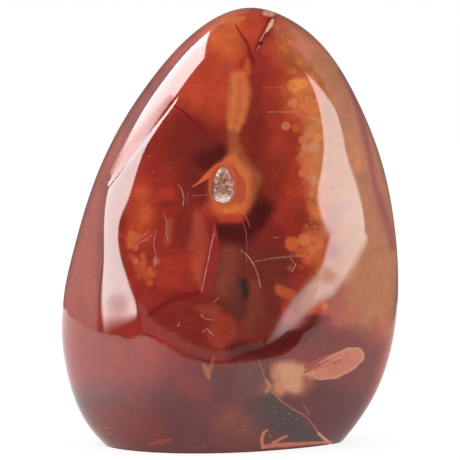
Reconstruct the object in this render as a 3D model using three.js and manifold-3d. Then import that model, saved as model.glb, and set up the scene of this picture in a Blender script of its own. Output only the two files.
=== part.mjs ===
// A polished carnelian free form: one stone with a flat-cut foot and one small crystal-lined pocket.
// Millimetres, +Z up, the front towards -Y. The origin is the middle of the foot.

import * as THREE from 'three';
import { mergeVertices } from 'three/addons/utils/BufferGeometryUtils.js';
import Module from 'manifold-3d';

const manifold = await Module();
manifold.setup();

// The stone's outline from the front: hand-set control points [x, z] of a closed smooth spline.
// It runs clockwise from the tip, and its lowest stretch lies under the foot's cut.
const OUTLINE = [
  [4, 111], [16, 106.5], [25, 98.5], [32, 86], [38.5, 71], [42.5, 55], [45.5, 39], [45.5, 22.5],
  [40, 8.5], [29.5, -2], [18, -10], [0, -11.5], [-18, -10], [-30, -2], [-40, 6.5], [-45, 18.5],
  [-44.5, 33], [-40, 48], [-35.5, 63], [-29, 78], [-19, 93], [-8.5, 104.5],
];
const BELLY_HEIGHT = 28;
const OUTLINE_STEPS = 2400;

// Front and back bulge away from the outline's plane: depth, and how boxy the bulge is.
const FRONT_DEPTH = 24;
const FRONT_FULLNESS = 3.2;
const BACK_DEPTH = 25;
const BACK_FULLNESS = 2;

// Broad faces ground on the form: the way each looks in degrees (0 is the front, 90 is +X),
// its tilt above level, its distance from the belly's middle, and how crisp its edge is.
const FACES = [
  { turn: 37, tilt: -11, distance: 24, crispness: 6.3 },
  { turn: -139, tilt: -15, distance: 33, crispness: 14 },
  { turn: -45, tilt: -4, distance: 33.7, crispness: 9 },
  { turn: 172, tilt: 14, distance: 29, crispness: 9 },
];

// Facets of the stone's surface, counted along an edge of the starting icosahedron.
const SURFACE_DETAIL = 16;
const DIRECTION_STRETCH = new THREE.Vector3(1, 0.75, 1.3);
const FOOT_CUTTER = 240;

// The pocket: an egg-shaped hollow with its narrow end up, open to the front.
const POCKET = { x: -1.8, y: -23.25, z: 65.8, width: 5.4, height: 8.9, depth: 3.6, taper: 0.22 };
const POCKET_SEGMENTS = 22;
const POCKET_RINGS = 12;

// The crust of quartz crystals that lines it.
const CRUST_GAP = 0.3;
const CRUST_WALL = 0.65;
const CRUST_RECESS = 0.5;
const CRUST_BOWL_DEPTH = 1.9;
const CRYSTAL_COUNT = 44;
const CRYSTAL_SIDES = 6;
const CRYSTAL_RADIUS = 0.42;
const CRYSTAL_LENGTH = 0.55;
const CRYSTAL_TIP = 0.5;
const CRYSTAL_ROOT = 0.35;
const CRYSTAL_VARIATION = 0.3;
const CRYSTAL_LEAN = 0.35;
const GOLDEN_ANGLE = Math.PI * (3 - Math.sqrt(5));

const carnelian = new THREE.MeshStandardMaterial({
  name: 'polished carnelian', color: 0x8f2c1f, roughness: 0.06, metalness: 0,
});
const quartz = new THREE.MeshStandardMaterial({
  name: 'drusy quartz', color: 0xd9c9c3, roughness: 0.35, metalness: 0,
});

// A point of the closed uniform cubic B-spline of the outline; t runs from 0 to the number of points.
function outlinePoint(t) {
  const count = OUTLINE.length;
  const start = Math.floor(t);
  const f = t - start;
  const weights = [
    (1 - f) ** 3 / 6,
    (3 * f ** 3 - 6 * f ** 2 + 4) / 6,
    (-3 * f ** 3 + 3 * f ** 2 + 3 * f + 1) / 6,
    f ** 3 / 6,
  ];
  const point = new THREE.Vector2();
  weights.forEach((weight, k) => {
    const [x, z] = OUTLINE[(start + k - 1 + count) % count];
    point.x += weight * x;
    point.y += weight * z;
  });
  return point;
}

// The outline's distance from the belly's middle, as a table by angle that rimRadius reads.
function makeRimTable() {
  const table = [];
  for (let step = 0; step < OUTLINE_STEPS; step++) {
    const point = outlinePoint(step * OUTLINE.length / OUTLINE_STEPS);
    const up = point.y - BELLY_HEIGHT;
    table.push({ angle: Math.atan2(up, point.x), radius: Math.hypot(point.x, up) });
  }
  table.sort((a, b) => a.angle - b.angle);
  const first = table[0];
  const last = table[table.length - 1];
  table.unshift({ angle: last.angle - 2 * Math.PI, radius: last.radius });
  table.push({ angle: first.angle + 2 * Math.PI, radius: first.radius });
  return table;
}

const rimTable = makeRimTable();

function rimRadius(angle) {
  let low = 0;
  let high = rimTable.length - 1;
  while (high - low > 1) {
    const middle = (low + high) >> 1;
    if (rimTable[middle].angle <= angle) low = middle;
    else high = middle;
  }
  const before = rimTable[low];
  const after = rimTable[high];
  const part = (angle - before.angle) / (after.angle - before.angle);
  return THREE.MathUtils.lerp(before.radius, after.radius, part);
}

function faceNormal({ turn, tilt }) {
  const a = THREE.MathUtils.degToRad(turn);
  const e = THREE.MathUtils.degToRad(tilt);
  return new THREE.Vector3(Math.sin(a) * Math.cos(e), -Math.cos(a) * Math.cos(e), Math.sin(e));
}

// The stone's surface in a direction from the belly's middle: the outline and the bulge joined
// as a superellipse, then each ground face taken off softly.
function surfacePoint(direction) {
  const u = direction.clone().normalize();
  const rim = rimRadius(Math.atan2(u.z, u.x));
  const depth = u.y < 0 ? FRONT_DEPTH : BACK_DEPTH;
  const fullness = u.y < 0 ? FRONT_FULLNESS : BACK_FULLNESS;
  const side = Math.hypot(u.x, u.z) / rim;
  let radius = (side ** fullness + (Math.abs(u.y) / depth) ** fullness) ** (-1 / fullness);
  for (const face of FACES) {
    const reach = Math.max(0, u.dot(faceNormal(face)) / face.distance);
    radius = (radius ** -face.crispness + reach ** face.crispness) ** (-1 / face.crispness);
  }
  return u.multiplyScalar(radius).add(new THREE.Vector3(0, 0, BELLY_HEIGHT));
}

// Closed geometry to a solid, and back.
function toSolid(geometry) {
  const bare = geometry.clone();
  bare.deleteAttribute('normal');
  bare.deleteAttribute('uv');
  const merged = mergeVertices(bare);
  return new manifold.Manifold(new manifold.Mesh({
    numProp: 3,
    vertProperties: new Float32Array(merged.attributes.position.array),
    triVerts: new Uint32Array(merged.index.array),
  }));
}

function toGeometry(solid) {
  const mesh = solid.getMesh();
  const geometry = new THREE.BufferGeometry();
  geometry.setAttribute('position', new THREE.BufferAttribute(new Float32Array(mesh.vertProperties), 3));
  geometry.setIndex(new THREE.BufferAttribute(new Uint32Array(mesh.triVerts), 1));
  geometry.computeVertexNormals();
  return geometry;
}

function movePoints(geometry, move) {
  const positions = geometry.attributes.position;
  const point = new THREE.Vector3();
  for (let i = 0; i < positions.count; i++) {
    point.copy(move(point.fromBufferAttribute(positions, i)));
    positions.setXYZ(i, point.x, point.y, point.z);
  }
  return geometry;
}

// The hollow's egg, smaller all round by a clearance and as deep as asked.
function pocketEgg(clearance, depth) {
  const egg = new THREE.SphereGeometry(1, POCKET_SEGMENTS, POCKET_RINGS);
  return movePoints(egg, (p) => eggPoint(p, clearance, depth));
}

// A point of the unit ball taken to the egg: narrower towards the top, centred on the front surface.
function eggPoint(p, clearance, depth) {
  const halfWidth = (POCKET.width / 2 - clearance) * (1 - POCKET.taper * p.z);
  return new THREE.Vector3(
    POCKET.x + p.x * halfWidth,
    POCKET.y + p.y * depth,
    POCKET.z + p.z * (POCKET.height / 2 - clearance),
  );
}

function makeStone() {
  const ball = new THREE.IcosahedronGeometry(1, SURFACE_DETAIL);
  const form = movePoints(ball, (p) => surfacePoint(p.multiply(DIRECTION_STRETCH)));
  const belowFoot = new THREE.BoxGeometry(FOOT_CUTTER, FOOT_CUTTER, FOOT_CUTTER)
    .translate(0, 0, -FOOT_CUTTER / 2);
  return toSolid(form)
    .subtract(toSolid(belowFoot))
    .subtract(toSolid(pocketEgg(0, POCKET.depth)));
}

// One six-sided crystal, standing on its root along +Y of its own frame, with a pointed end.
function crystalGeometry(scale) {
  const profile = [
    new THREE.Vector2(0, -CRYSTAL_ROOT),
    new THREE.Vector2(CRYSTAL_RADIUS * scale, -CRYSTAL_ROOT),
    new THREE.Vector2(CRYSTAL_RADIUS * scale, (CRYSTAL_LENGTH - CRYSTAL_TIP) * scale),
    new THREE.Vector2(0, CRYSTAL_LENGTH * scale),
  ];
  return new THREE.LatheGeometry(profile, CRYSTAL_SIDES);
}

// The crystals stand on the bowl in a sunflower spiral, each leaning and sized a little differently.
function makeCrystals(bowlClearance) {
  const crystals = [];
  for (let k = 0; k < CRYSTAL_COUNT; k++) {
    const spread = Math.sqrt((k + 0.5) / CRYSTAL_COUNT);
    const angle = k * GOLDEN_ANGLE;
    const onBall = new THREE.Vector3(
      spread * Math.cos(angle), Math.sqrt(1 - spread ** 2), spread * Math.sin(angle),
    );
    const foot = eggPoint(onBall, bowlClearance, CRUST_BOWL_DEPTH);
    const inward = new THREE.Vector3(
      -onBall.x + CRYSTAL_LEAN * Math.sin(5 * k), -1, -onBall.z + CRYSTAL_LEAN * Math.cos(7 * k),
    ).normalize();
    const scale = 1 + CRYSTAL_VARIATION * Math.sin(3 * k);
    const turn = new THREE.Quaternion().setFromUnitVectors(new THREE.Vector3(0, 1, 0), inward);
    const place = new THREE.Matrix4().compose(foot, turn, new THREE.Vector3(1, 1, 1));
    crystals.push(toSolid(crystalGeometry(scale).applyMatrix4(place)));
  }
  return crystals;
}

function makeCrust() {
  const lining = toSolid(pocketEgg(CRUST_GAP, POCKET.depth - CRUST_GAP));
  const bowl = toSolid(pocketEgg(CRUST_GAP + CRUST_WALL, CRUST_BOWL_DEPTH));
  const behindSurface = toSolid(new THREE.BoxGeometry(POCKET.height * 2, POCKET.depth * 2, POCKET.height * 2)
    .translate(POCKET.x, POCKET.y + CRUST_RECESS + POCKET.depth, POCKET.z));
  let crust = lining.subtract(bowl);
  for (const crystal of makeCrystals(CRUST_GAP + CRUST_WALL)) crust = crust.add(crystal);
  return crust.intersect(lining).intersect(behindSurface);
}

const stone = new THREE.Mesh(toGeometry(makeStone()), carnelian);
stone.name = 'stone';
const crust = new THREE.Mesh(toGeometry(makeCrust()), quartz);
crust.name = 'quartz_crust';

// The stone's middle over the origin, with its foot at height 0.
stone.geometry.computeBoundingBox();
const middle = stone.geometry.boundingBox.getCenter(new THREE.Vector3());
const group = new THREE.Group();
group.add(stone, crust);
group.position.set(-middle.x, -middle.y, 0);

export default group;
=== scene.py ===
import math
from typing import NamedTuple

import bmesh
import bpy
import numpy as np
from mathutils import Matrix, Vector, noise
from mathutils.interpolate import poly_3d_calc


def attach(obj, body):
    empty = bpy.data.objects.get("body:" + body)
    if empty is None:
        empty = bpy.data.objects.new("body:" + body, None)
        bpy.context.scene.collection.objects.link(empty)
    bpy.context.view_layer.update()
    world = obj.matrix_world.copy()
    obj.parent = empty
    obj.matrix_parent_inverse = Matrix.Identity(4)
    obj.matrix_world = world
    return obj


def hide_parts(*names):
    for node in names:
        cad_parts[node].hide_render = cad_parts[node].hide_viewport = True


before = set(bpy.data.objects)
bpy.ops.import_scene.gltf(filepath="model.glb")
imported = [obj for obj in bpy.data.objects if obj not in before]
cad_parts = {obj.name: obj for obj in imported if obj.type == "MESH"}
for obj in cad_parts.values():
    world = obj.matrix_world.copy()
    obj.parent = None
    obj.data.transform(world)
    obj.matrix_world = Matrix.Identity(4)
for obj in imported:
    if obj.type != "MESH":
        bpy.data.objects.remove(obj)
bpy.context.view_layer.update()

bl_info = {
    "name": "Polished carnelian free form",
    "version": (1, 0, 0),
    "blender": (4, 5, 0),
    "location": "3D View > Sidebar > Carnelian",
    "description": "Makes a polished carnelian stone with a quartz-lined pocket, and a small photo studio",
    "category": "Add Mesh",
}

MM = 0.001

# The square drawing that the marks are drawn in, and how the camera sees the stone: its size in
# pixels, its width at the stone, the eye's distance and rise, and the height that it looks at.
DRAWING_SIZE = 460
DRAWING_WIDTH = 115 * MM
EYE_DISTANCE = 0.8
EYE_RISE = math.radians(3)
AIM_HEIGHT = 53.7 * MM

# The stone's outline from the front, in millimetres: control points (x, z) of a closed smooth spline.
# They are the same as the solid's, and the lowest stretch lies under the foot's cut.
OUTLINE = [
    (4, 111), (16, 106.5), (25, 98.5), (32, 86), (38.5, 71), (42.5, 55), (45.5, 39), (45.5, 22.5),
    (40, 8.5), (29.5, -2), (18, -10), (0, -11.5), (-18, -10), (-30, -2), (-40, 6.5), (-45, 18.5),
    (-44.5, 33), (-40, 48), (-35.5, 63), (-29, 78), (-19, 93), (-8.5, 104.5),
]
OUTLINE_STEPS = 4000


class Face(NamedTuple):
    """A broad face ground on the form: turn 0 looks to the front and 90 to +X, in degrees."""

    turn: float
    tilt: float
    distance: float
    crispness: float


FACES = [
    Face(37, -11, 24, 6.3),
    Face(-139, -15, 33, 14),
    Face(-45, -4, 33.7, 9),
    Face(172, 14, 29, 9),
]


class Swell(NamedTuple):
    """A gentle rise or hollow left by hand polishing, on the front, in millimetres."""

    name: str
    x: float
    z: float
    half_width: float
    half_height: float
    rise: float


SWELLS = [
    Swell("left shoulder", -30, 55.5, 3.6, 10, 0.65),
    Swell("low left", -18, 35, 5.2, 9.5, 0.9),
]
SWELL_FADE = 5

# The ground crease on the upper left of the front: two points of its line, in millimetres.
CREASE_TOP = Vector((-14.2, -17.9, 85.4))
CREASE_LOW = Vector((-28.9, -14.9, 66.3))

# How far its slow slope, its short wall and its faded ends reach, in millimetres, and the share of
# its length past each end over which the mesh is made finer too.
CREASE_SLOPE = 1.6
CREASE_WALL = 0.22
CREASE_FADE = 1.6
CREASE_MARGIN = 0.3

# The polish's slow waves: waves a millimetre, and the height over the foot in which they set in.
WAVE_FREQUENCY = 0.09
FOOT_CALM = 6

# The mesh: a stretched ball, made finer step by step within these reaches of the crease, the pocket
# and the foot's edge, in millimetres. Lower than the foot's level are only points of the flat foot.
BALL_DIVISIONS = 7
DIRECTION_STRETCH = (1, 0.75, 1.3)
REFINE_REACHES = (2.6, 1.1, 0.5)
FOOT_LEVEL = 0.0005
SHARP_ANGLE = math.radians(40)

# The pocket's ragged wall: how much, in what waves, and how fine its mesh is.
EGG_RAGGED = 0.07
EGG_FREQUENCY = 2.2
EGG_DIVISIONS = 5

# The quartz crust: its gap to the pocket's wall, its thickness, how far it stays behind the polish,
# and how deep its bowl is, in millimetres.
CRUST_CLEARANCE = 0.04
CRUST_WALL = 0.55
CRUST_RECESS = 0.35
BOWL_DEPTH = 2.3

# Its crystals: radii from least to greatest in millimetres, the power that makes large ones rare,
# the least length and the tip in radii, how deep they root in the crust as a share of its thickness,
# how much they look to the front, and how wildly they lean.
CRYSTAL_SIDES = 6
CRYSTAL_RADII = (0.2, 0.62)
CRYSTAL_RARITY = 2
CRYSTAL_LENGTH = 1.6
CRYSTAL_TIP = 1.1
CRYSTAL_ROOT = 0.8
CRYSTAL_FACING = 0.9
CRYSTAL_LEAN = 0.55
CRYSTAL_SEED = 7
GOLDEN_ANGLE = math.pi * (3 - math.sqrt(5))


class Patch(NamedTuple):
    """A soft-edged ellipse of colour.

    Marks are drawn as seen from the front, in the drawing's pixels: x to the right and y down. turn
    leans a patch clockwise, in degrees. edge runs from 0, crisp, to 1, soft.
    """

    name: str
    centre: tuple
    reach: tuple
    turn: float
    edge: float
    colour: str
    strength: float
    wobble: str = "fine"


class Stroke(NamedTuple):
    """A line of colour through points (x, y, radius), as wide at each as twice its radius."""

    name: str
    points: list
    edge: float
    colour: str
    strength: float
    wobble: str = "fine"


class Spot(NamedTuple):
    """A round spot of colour."""

    name: str
    centre: tuple
    radius: float
    edge: float
    colour: str
    strength: float
    wobble: str = "fine"


# Broad fields of colour, laid first.
FIELDS = [
    Patch("front", (230, 230), (200, 250), 0, 0.2, "red", 1, "broad"),
    Patch("left flank", (82, 220), (42, 190), 12, 0.35, "rust", 0.95, "broad"),
    Patch("left flank, low", (95, 322), (40, 24), 0, 0.6, "rust", 0.9, "broad"),
    Patch("right flank", (372, 190), (42, 190), -12, 0.35, "tan", 1, "broad"),
    Patch("upper left", (204, 72), (44, 52), 25, 0.5, "flame", 1, "broad"),
    Stroke("under the left highlight", [
        (203, 44, 6), (170, 82, 12), (140, 128, 13), (117, 180, 13), (108, 240, 12), (114, 302, 14),
    ], 0.4, "garnet", 0.8, "broad"),
    # The top: partly the stone's own orange, partly painted light shining through the thin stone.
    Patch("top", (230, 34), (26, 24), 0, 0.5, "orange", 0.95, "broad"),
    Patch("right of the top", (272, 52), (28, 32), 0, 0.5, "ember", 1, "broad"),
    Patch("between the top lines", (252, 27), (11, 17), 0, 0.5, "flame", 0.9, "broad"),
    Patch("crimson place", (262, 72), (15, 22), 0, 0.6, "crimson", 0.95, "broad"),
    Patch("upper right", (287, 74), (16, 22), 0, 0.6, "flame", 0.9, "broad"),
    Patch("right shoulder", (314, 62), (26, 46), -36, 0.5, "tan", 1, "broad"),
    Patch("right field", (288, 150), (36, 78), 0, 0.5, "ember", 1, "broad"),
    Patch("right field's dark side", (256, 138), (14, 44), 0, 0.6, "garnet", 0.95, "broad"),
    Patch("right field, low", (278, 215), (30, 26), 0, 0.6, "red", 0.9, "broad"),
    Patch("under the right highlight", (340, 180), (20, 110), -14, 0.5, "sand", 0.9, "broad"),
    Patch("under its low end", (326, 282), (14, 34), 38, 0.5, "sand", 0.8, "broad"),
    # Painted reflection: the milky sheen that the highlight lays on the right shoulder.
    Stroke("milky shoulder", [(277, 26, 6), (292, 36, 9), (306, 50, 9)], 0.8, "coral", 0.8, "broad"),
    Patch("pale place by the right band", (350, 274), (9, 11), 0, 0.8, "peach", 0.6, "broad"),
    Patch("bubble strip", (313, 150), (12, 60), -3, 0.5, "honey", 0.75, "broad"),
    Patch("bubble strip, top", (302, 96), (19, 22), 0, 0.6, "orange", 0.75, "broad"),
    Patch("bubble strip, low", (316, 232), (11, 34), 0, 0.5, "amber", 0.65, "broad"),
    Patch("left of the front", (163, 235), (44, 70), 0, 0.5, "red", 1, "broad"),
    Patch("left edge of the front", (140, 212), (14, 34), 0, 0.6, "flame", 0.85, "broad"),
    Patch("left shade", (188, 142), (28, 27), 30, 0.6, "garnet", 0.95, "broad"),
    Patch("shade by the pocket", (206, 160), (24, 30), 20, 0.6, "maroon", 0.9, "broad"),
    Patch("low middle", (208, 322), (52, 34), 0, 0.5, "garnet", 0.9, "broad"),
    Patch("centre", (236, 285), (26, 52), 0, 0.5, "umber", 1, "broad"),
    Patch("centre, right", (270, 280), (24, 44), 0, 0.5, "umber", 1, "broad"),
    Patch("under the right band", (334, 308), (18, 20), -30, 0.7, "rust", 0.7, "broad"),
    Patch("right, low", (360, 342), (30, 18), 20, 0.6, "crimson", 0.8, "broad"),
    Patch("right flank, low", (374, 285), (25, 50), 8, 0.5, "olive", 1, "broad"),
    Patch("foot", (222, 415), (195, 56), 0, 0.3, "plum", 1, "broad"),
    Patch("foot, left", (112, 350), (62, 40), 8, 0.6, "red", 0.9, "broad"),
    Patch("foot, low left", (120, 425), (40, 26), 0, 0.6, "garnet", 0.8, "broad"),
    Patch("foot, right", (335, 345), (40, 20), 0, 0.6, "maroon", 0.8, "broad"),
    Patch("foot, red right", (368, 372), (16, 26), 20, 0.6, "maroon", 0.8, "broad"),
    Patch("foot's brown cloud", (240, 417), (30, 22), 0, 0.8, "brown", 0.85, "broad"),
    Patch("foot's dusk", (258, 386), (19, 27), 0, 0.6, "dusk", 0.95, "broad"),
]

# Clouds and veils, over the fields.
CLOUDS = [
    Stroke("heart", [
        (222, 232, 11), (240, 232, 14), (257, 222, 12), (266, 206, 9),
    ], 0.75, "deep", 1, "broad"),
    Stroke("right of the halo", [(262, 188, 7), (258, 208, 9)], 0.8, "deep", 0.8, "broad"),
    Stroke("dark over the tail", [(204, 160, 9), (219, 150, 8)], 0.85, "deep", 0.85, "broad"),
    Stroke("dark under the tail", [(200, 190, 8), (203, 200, 6)], 0.7, "maroon", 0.9, "broad"),
    Stroke("dark red column", [(182, 218, 9), (182, 242, 9)], 0.6, "garnet", 0.85, "broad"),
    Stroke("scarlet bar", [(146, 195, 6), (168, 195, 6)], 0.5, "scarlet", 0.9, "broad"),
    Stroke("line under the bar", [(143, 204, 1.5), (174, 205, 2)], 0.9, "garnet", 0.35, "broad"),
    Spot("orange spot", (143, 213), 9, 0.9, "orange", 0.5, "broad"),
    Spot("orange spot, upper", (141, 193), 7, 0.9, "orange", 0.45, "broad"),
    Stroke("scarlet block", [(166, 272, 15), (186, 274, 15)], 0.25, "scarlet", 0.6, "broad"),
    Stroke("shade left of the pocket", [(186, 180, 9), (187, 198, 9)], 0.9, "maroon", 0.7, "broad"),
    Stroke("shade right of the halo", [(272, 163, 12), (272, 187, 12)], 0.9, "garnet", 0.75, "broad"),
    Spot("glow right of the shade", (299, 191), 12, 0.9, "flame", 0.7, "broad"),
    Stroke("yellow smudge", [(169, 222, 2.6), (170, 241, 3)], 0.9, "ochre", 0.6, "broad"),
    Stroke("amber smudge", [(131, 256, 3), (138, 263, 5), (146, 274, 5)], 0.9, "orange", 0.5, "broad"),
    Stroke("brown plume", [
        (197, 216, 5), (198, 240, 8), (200, 268, 6), (202, 288, 3),
    ], 0.8, "rust", 0.85, "broad"),
    Stroke("crimson wedge", [
        (213.5, 227, 1.5), (212, 250, 5), (210, 272, 7), (209, 288, 6),
    ], 0.4, "crimson", 0.95, "broad"),
    Stroke("wedge's bright tip", [(214, 224, 0.8), (214, 236, 1.8)], 0.9, "rose", 0.6, "broad"),
    Stroke("brown veil", [(228, 256, 9), (229, 288, 11)], 0.7, "brown", 0.9, "broad"),
    Stroke("grey veil", [(238, 288, 8), (240, 312, 7)], 0.8, "dusk", 0.6, "broad"),
    Stroke("crimson curve", [
        (148, 316, 2), (160, 309, 3), (172, 301, 3.5), (185, 296, 3.5), (201, 292, 2.5),
    ], 0.8, "wine", 0.9, "broad"),
    Stroke("second curve", [(199, 301, 1.5), (212, 303, 2), (226, 305, 1)], 0.8, "wine", 0.7, "broad"),
    Stroke("dark under the curve", [(176, 320, 12), (192, 318, 13)], 0.7, "garnet", 0.7, "broad"),
    Stroke("low glow", [(204, 310, 7), (214, 312, 7)], 0.8, "rust", 0.5, "broad"),
    Spot("orb", (222, 332), 16, 0.2, "rust", 0.45, "broad"),
    Spot("orb's warm side", (225, 324), 9, 0.7, "ember", 0.5, "broad"),
    Stroke("brown column", [(255, 284, 7), (255, 325, 8)], 0.7, "brown", 0.8, "broad"),
    Spot("round red place", (272, 238), 12, 0.35, "garnet", 0.75, "broad"),
    Stroke("layered scarlet", [(288, 208, 9), (300, 214, 8)], 0.6, "ember", 0.6, "broad"),
    Stroke("orange lump", [(281, 292, 5), (290, 295, 5)], 0.5, "orange", 0.6, "broad"),
    Stroke("scarlet lump, second", [(285, 304, 6), (287, 313, 7)], 0.7, "scarlet", 0.7, "broad"),
    Stroke("brown under the band", [(262, 328, 12), (282, 332, 9)], 0.7, "umber", 0.8, "broad"),
    Spot("lump behind the band", (321, 307), 8, 0.4, "flame", 0.8, "broad"),
    Spot("amber in it", (324, 306), 4, 0.5, "amber", 0.8, "broad"),
    Stroke("rosy veil", [(341, 318, 7), (353, 316, 7)], 0.6, "rust", 0.75, "broad"),
    Stroke("wine line", [(308, 318, 4), (328, 320, 4)], 0.7, "wine", 0.9, "broad"),
    Stroke("right stripe", [
        (351, 90, 2.5), (360, 115, 3), (367, 143, 2.8), (371, 163, 2.8), (376, 188, 3.2), (384, 212, 4),
        (390, 232, 4), (393, 248, 3),
    ], 0.9, "crimson", 0.9),
    Stroke("purple rim, right", [(340, 74, 3), (352, 96, 3.5)], 0.8, "crimson", 0.5, "broad"),
    Stroke("purple place", [(149, 84, 4), (152, 90, 4)], 0.7, "wine", 0.7, "broad"),
    Stroke("red place, left rim", [(138, 104, 4), (128, 120, 4)], 0.8, "crimson", 0.5, "broad"),
    Stroke("slate", [
        (267, 396, 6), (276, 412, 15), (296, 428, 15), (312, 438, 10),
    ], 0.5, "slate", 0.9, "broad"),
    Stroke("slate's soft side", [(252, 404, 8), (262, 428, 9)], 0.9, "slate", 0.5, "broad"),
    Stroke("dark under the right band", [
        (236, 352, 9), (262, 350, 11), (284, 344, 12), (302, 335, 11), (316, 326, 8),
    ], 0.8, "deep", 0.85, "broad"),
    Stroke("foot's crimson cloud", [(188, 385, 12), (205, 392, 10)], 0.8, "crimson", 0.5, "broad"),
    Stroke("foot's dark cloud", [(225, 390, 12), (190, 412, 14)], 0.9, "plum", 0.6, "broad"),
    Stroke("red at the foot, left", [(112, 352, 9), (116, 378, 8)], 0.8, "scarlet", 0.45, "broad"),
    Stroke("lit mottle", [(362, 262, 9), (366, 290, 10)], 0.9, "olive", 0.6, "broad"),
    Stroke("tan mottle", [(352, 135, 5), (358, 165, 6)], 0.9, "amber", 0.5, "broad"),
    Stroke("red mottle", [(376, 322, 4), (380, 338, 5)], 0.8, "scarlet", 0.6, "broad"),
]

# The plume over the pocket, its halo, and lines near the surface, with clearer edges.
PLUMES = [
    Stroke("top's yellow streak", [(224, 22, 2.2), (234, 19.5, 3), (243, 18, 2)], 0.9, "amber", 0.85),
    Stroke("stripe's smudge, left", [(225, 67, 3), (232, 73, 4)], 0.9, "rust", 0.7),
    Stroke("stripe's spur", [(248, 60, 2.5), (246.5, 72, 4)], 0.7, "orange", 0.7),
    Stroke("stripe", [
        (238.5, 80, 8.5), (239.5, 92, 10), (238, 106, 9.3), (236, 118, 8.6), (234, 127, 6.3),
    ], 0.5, "amber", 1),
    Stroke("stripe's brown edge", [(231, 80, 2.5), (230.5, 105, 2), (230, 122, 2)], 1, "ochre", 0.2),
    Stroke("stripe's red side", [
        (240, 80, 4), (240.5, 95, 4), (239, 112, 3.5), (236, 124, 3),
    ], 1, "flame", 0.45),
    Stroke("neck", [(233, 133, 4.5), (234, 144, 5.2), (236, 152, 7)], 0.7, "ochre", 0.85),
    Stroke("halo's brown rim", [
        (242, 163, 7), (251, 179, 10), (248, 194, 8), (242, 208, 7),
    ], 0.55, "ochre", 0.85),
    Stroke("halo's tail", [
        (217, 170, 5.2), (208, 175.5, 3), (200.5, 181.5, 1.3), (193, 186, 0.6),
    ], 0.3, "orange", 1),
    Stroke("halo", [
        (234, 158, 4), (231, 165, 9.5), (231, 178, 18.2), (230, 191, 19.8), (225.5, 201, 15),
        (235, 201, 14.5),
    ], 0.3, "orange", 1),
    Stroke("halo's gold", [
        (239, 164, 3), (246, 176, 5), (246, 190, 4), (242, 203, 3.5),
    ], 0.9, "amber", 0.55),
    Spot("halo's dim corner", (213, 206), 8, 0.9, "brick", 0.55),
    Stroke("halo's peach top", [(234, 154, 4), (227, 164, 3)], 1, "amber", 0.3),
    Stroke("halo's red foot", [(222, 218, 4), (240, 218, 4)], 0.8, "flame", 0.9),
    Stroke("crescent's rim", [
        (231, 172, 5.7), (236, 185, 9.7), (236, 195, 9.7), (232, 203, 6.7),
    ], 0.07, "red", 0.6),
    Stroke("brick crescent", [(231, 172, 5), (236, 185, 9), (236, 195, 9), (232, 203, 6)], 0.1, "brick", 1),
    Stroke("gold under the pocket", [(226, 210, 3), (236, 207, 3.5)], 1, "gold", 0.45),
    Patch("pocket's outer line", (222.5, 185), (14.4, 23.2), 0, 0.04, "brick", 0.5),
    Patch("pocket's ring", (222.5, 185), (13.5, 22.2), 0, 0.04, "orange", 0.95),
    Patch("pocket's rim", (222.5, 185), (12, 19.8), 0, 0.06, "rust", 0.75),
    Stroke("spike", [(241, 205, 1), (246, 217, 1), (250, 227, 0.5)], 0.8, "orange", 0.45),
    Stroke("crimson line, top", [
        (236, 25, 0.9), (241, 34, 1.3), (247, 43, 1.5), (250, 52, 2), (252, 62, 3),
    ], 0.8, "wine", 0.85),
    Stroke("crack round the sliver", [
        (273, 15, 2.5), (268, 28, 3.5), (262, 38, 3), (257, 50, 2.5),
    ], 0.8, "wine", 0.85),
    Stroke("sliver", [(273, 20, 1.3), (270.5, 25, 2.1), (266.5, 31, 1.2)], 0.4, "cream", 1),
    Stroke("sliver's tail", [(265, 32, 0.6), (262.5, 37, 0.6), (260.5, 41, 0.7)], 0.6, "cream", 0.6),
    Spot("black speck", (261, 43.5), 1.6, 0.5, "bottle", 0.9),
    Stroke("sliver's end", [(259.5, 46, 0.7), (257, 50.5, 0.5)], 0.8, "cream", 0.4),
    Stroke("pale place on the rim", [(266, 13, 2.6), (272, 13.5, 2.6)], 0.8, "cream", 0.85),
    Spot("pink in the pale place", (268, 14), 2, 0.9, "salmon", 0.7),
    Stroke("orange under the crack", [(268, 50, 5), (276, 46, 4)], 0.9, "flame", 0.7),
    Stroke("crimson line, left", [
        (173, 104.5, 0.9), (186, 114, 1.3), (196, 123, 1.7), (207, 134, 1.6),
    ], 0.8, "wine", 0.95),
    Stroke("veil under the line", [(181, 117, 6), (196, 130, 6)], 0.95, "wine", 0.45),
]

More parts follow.
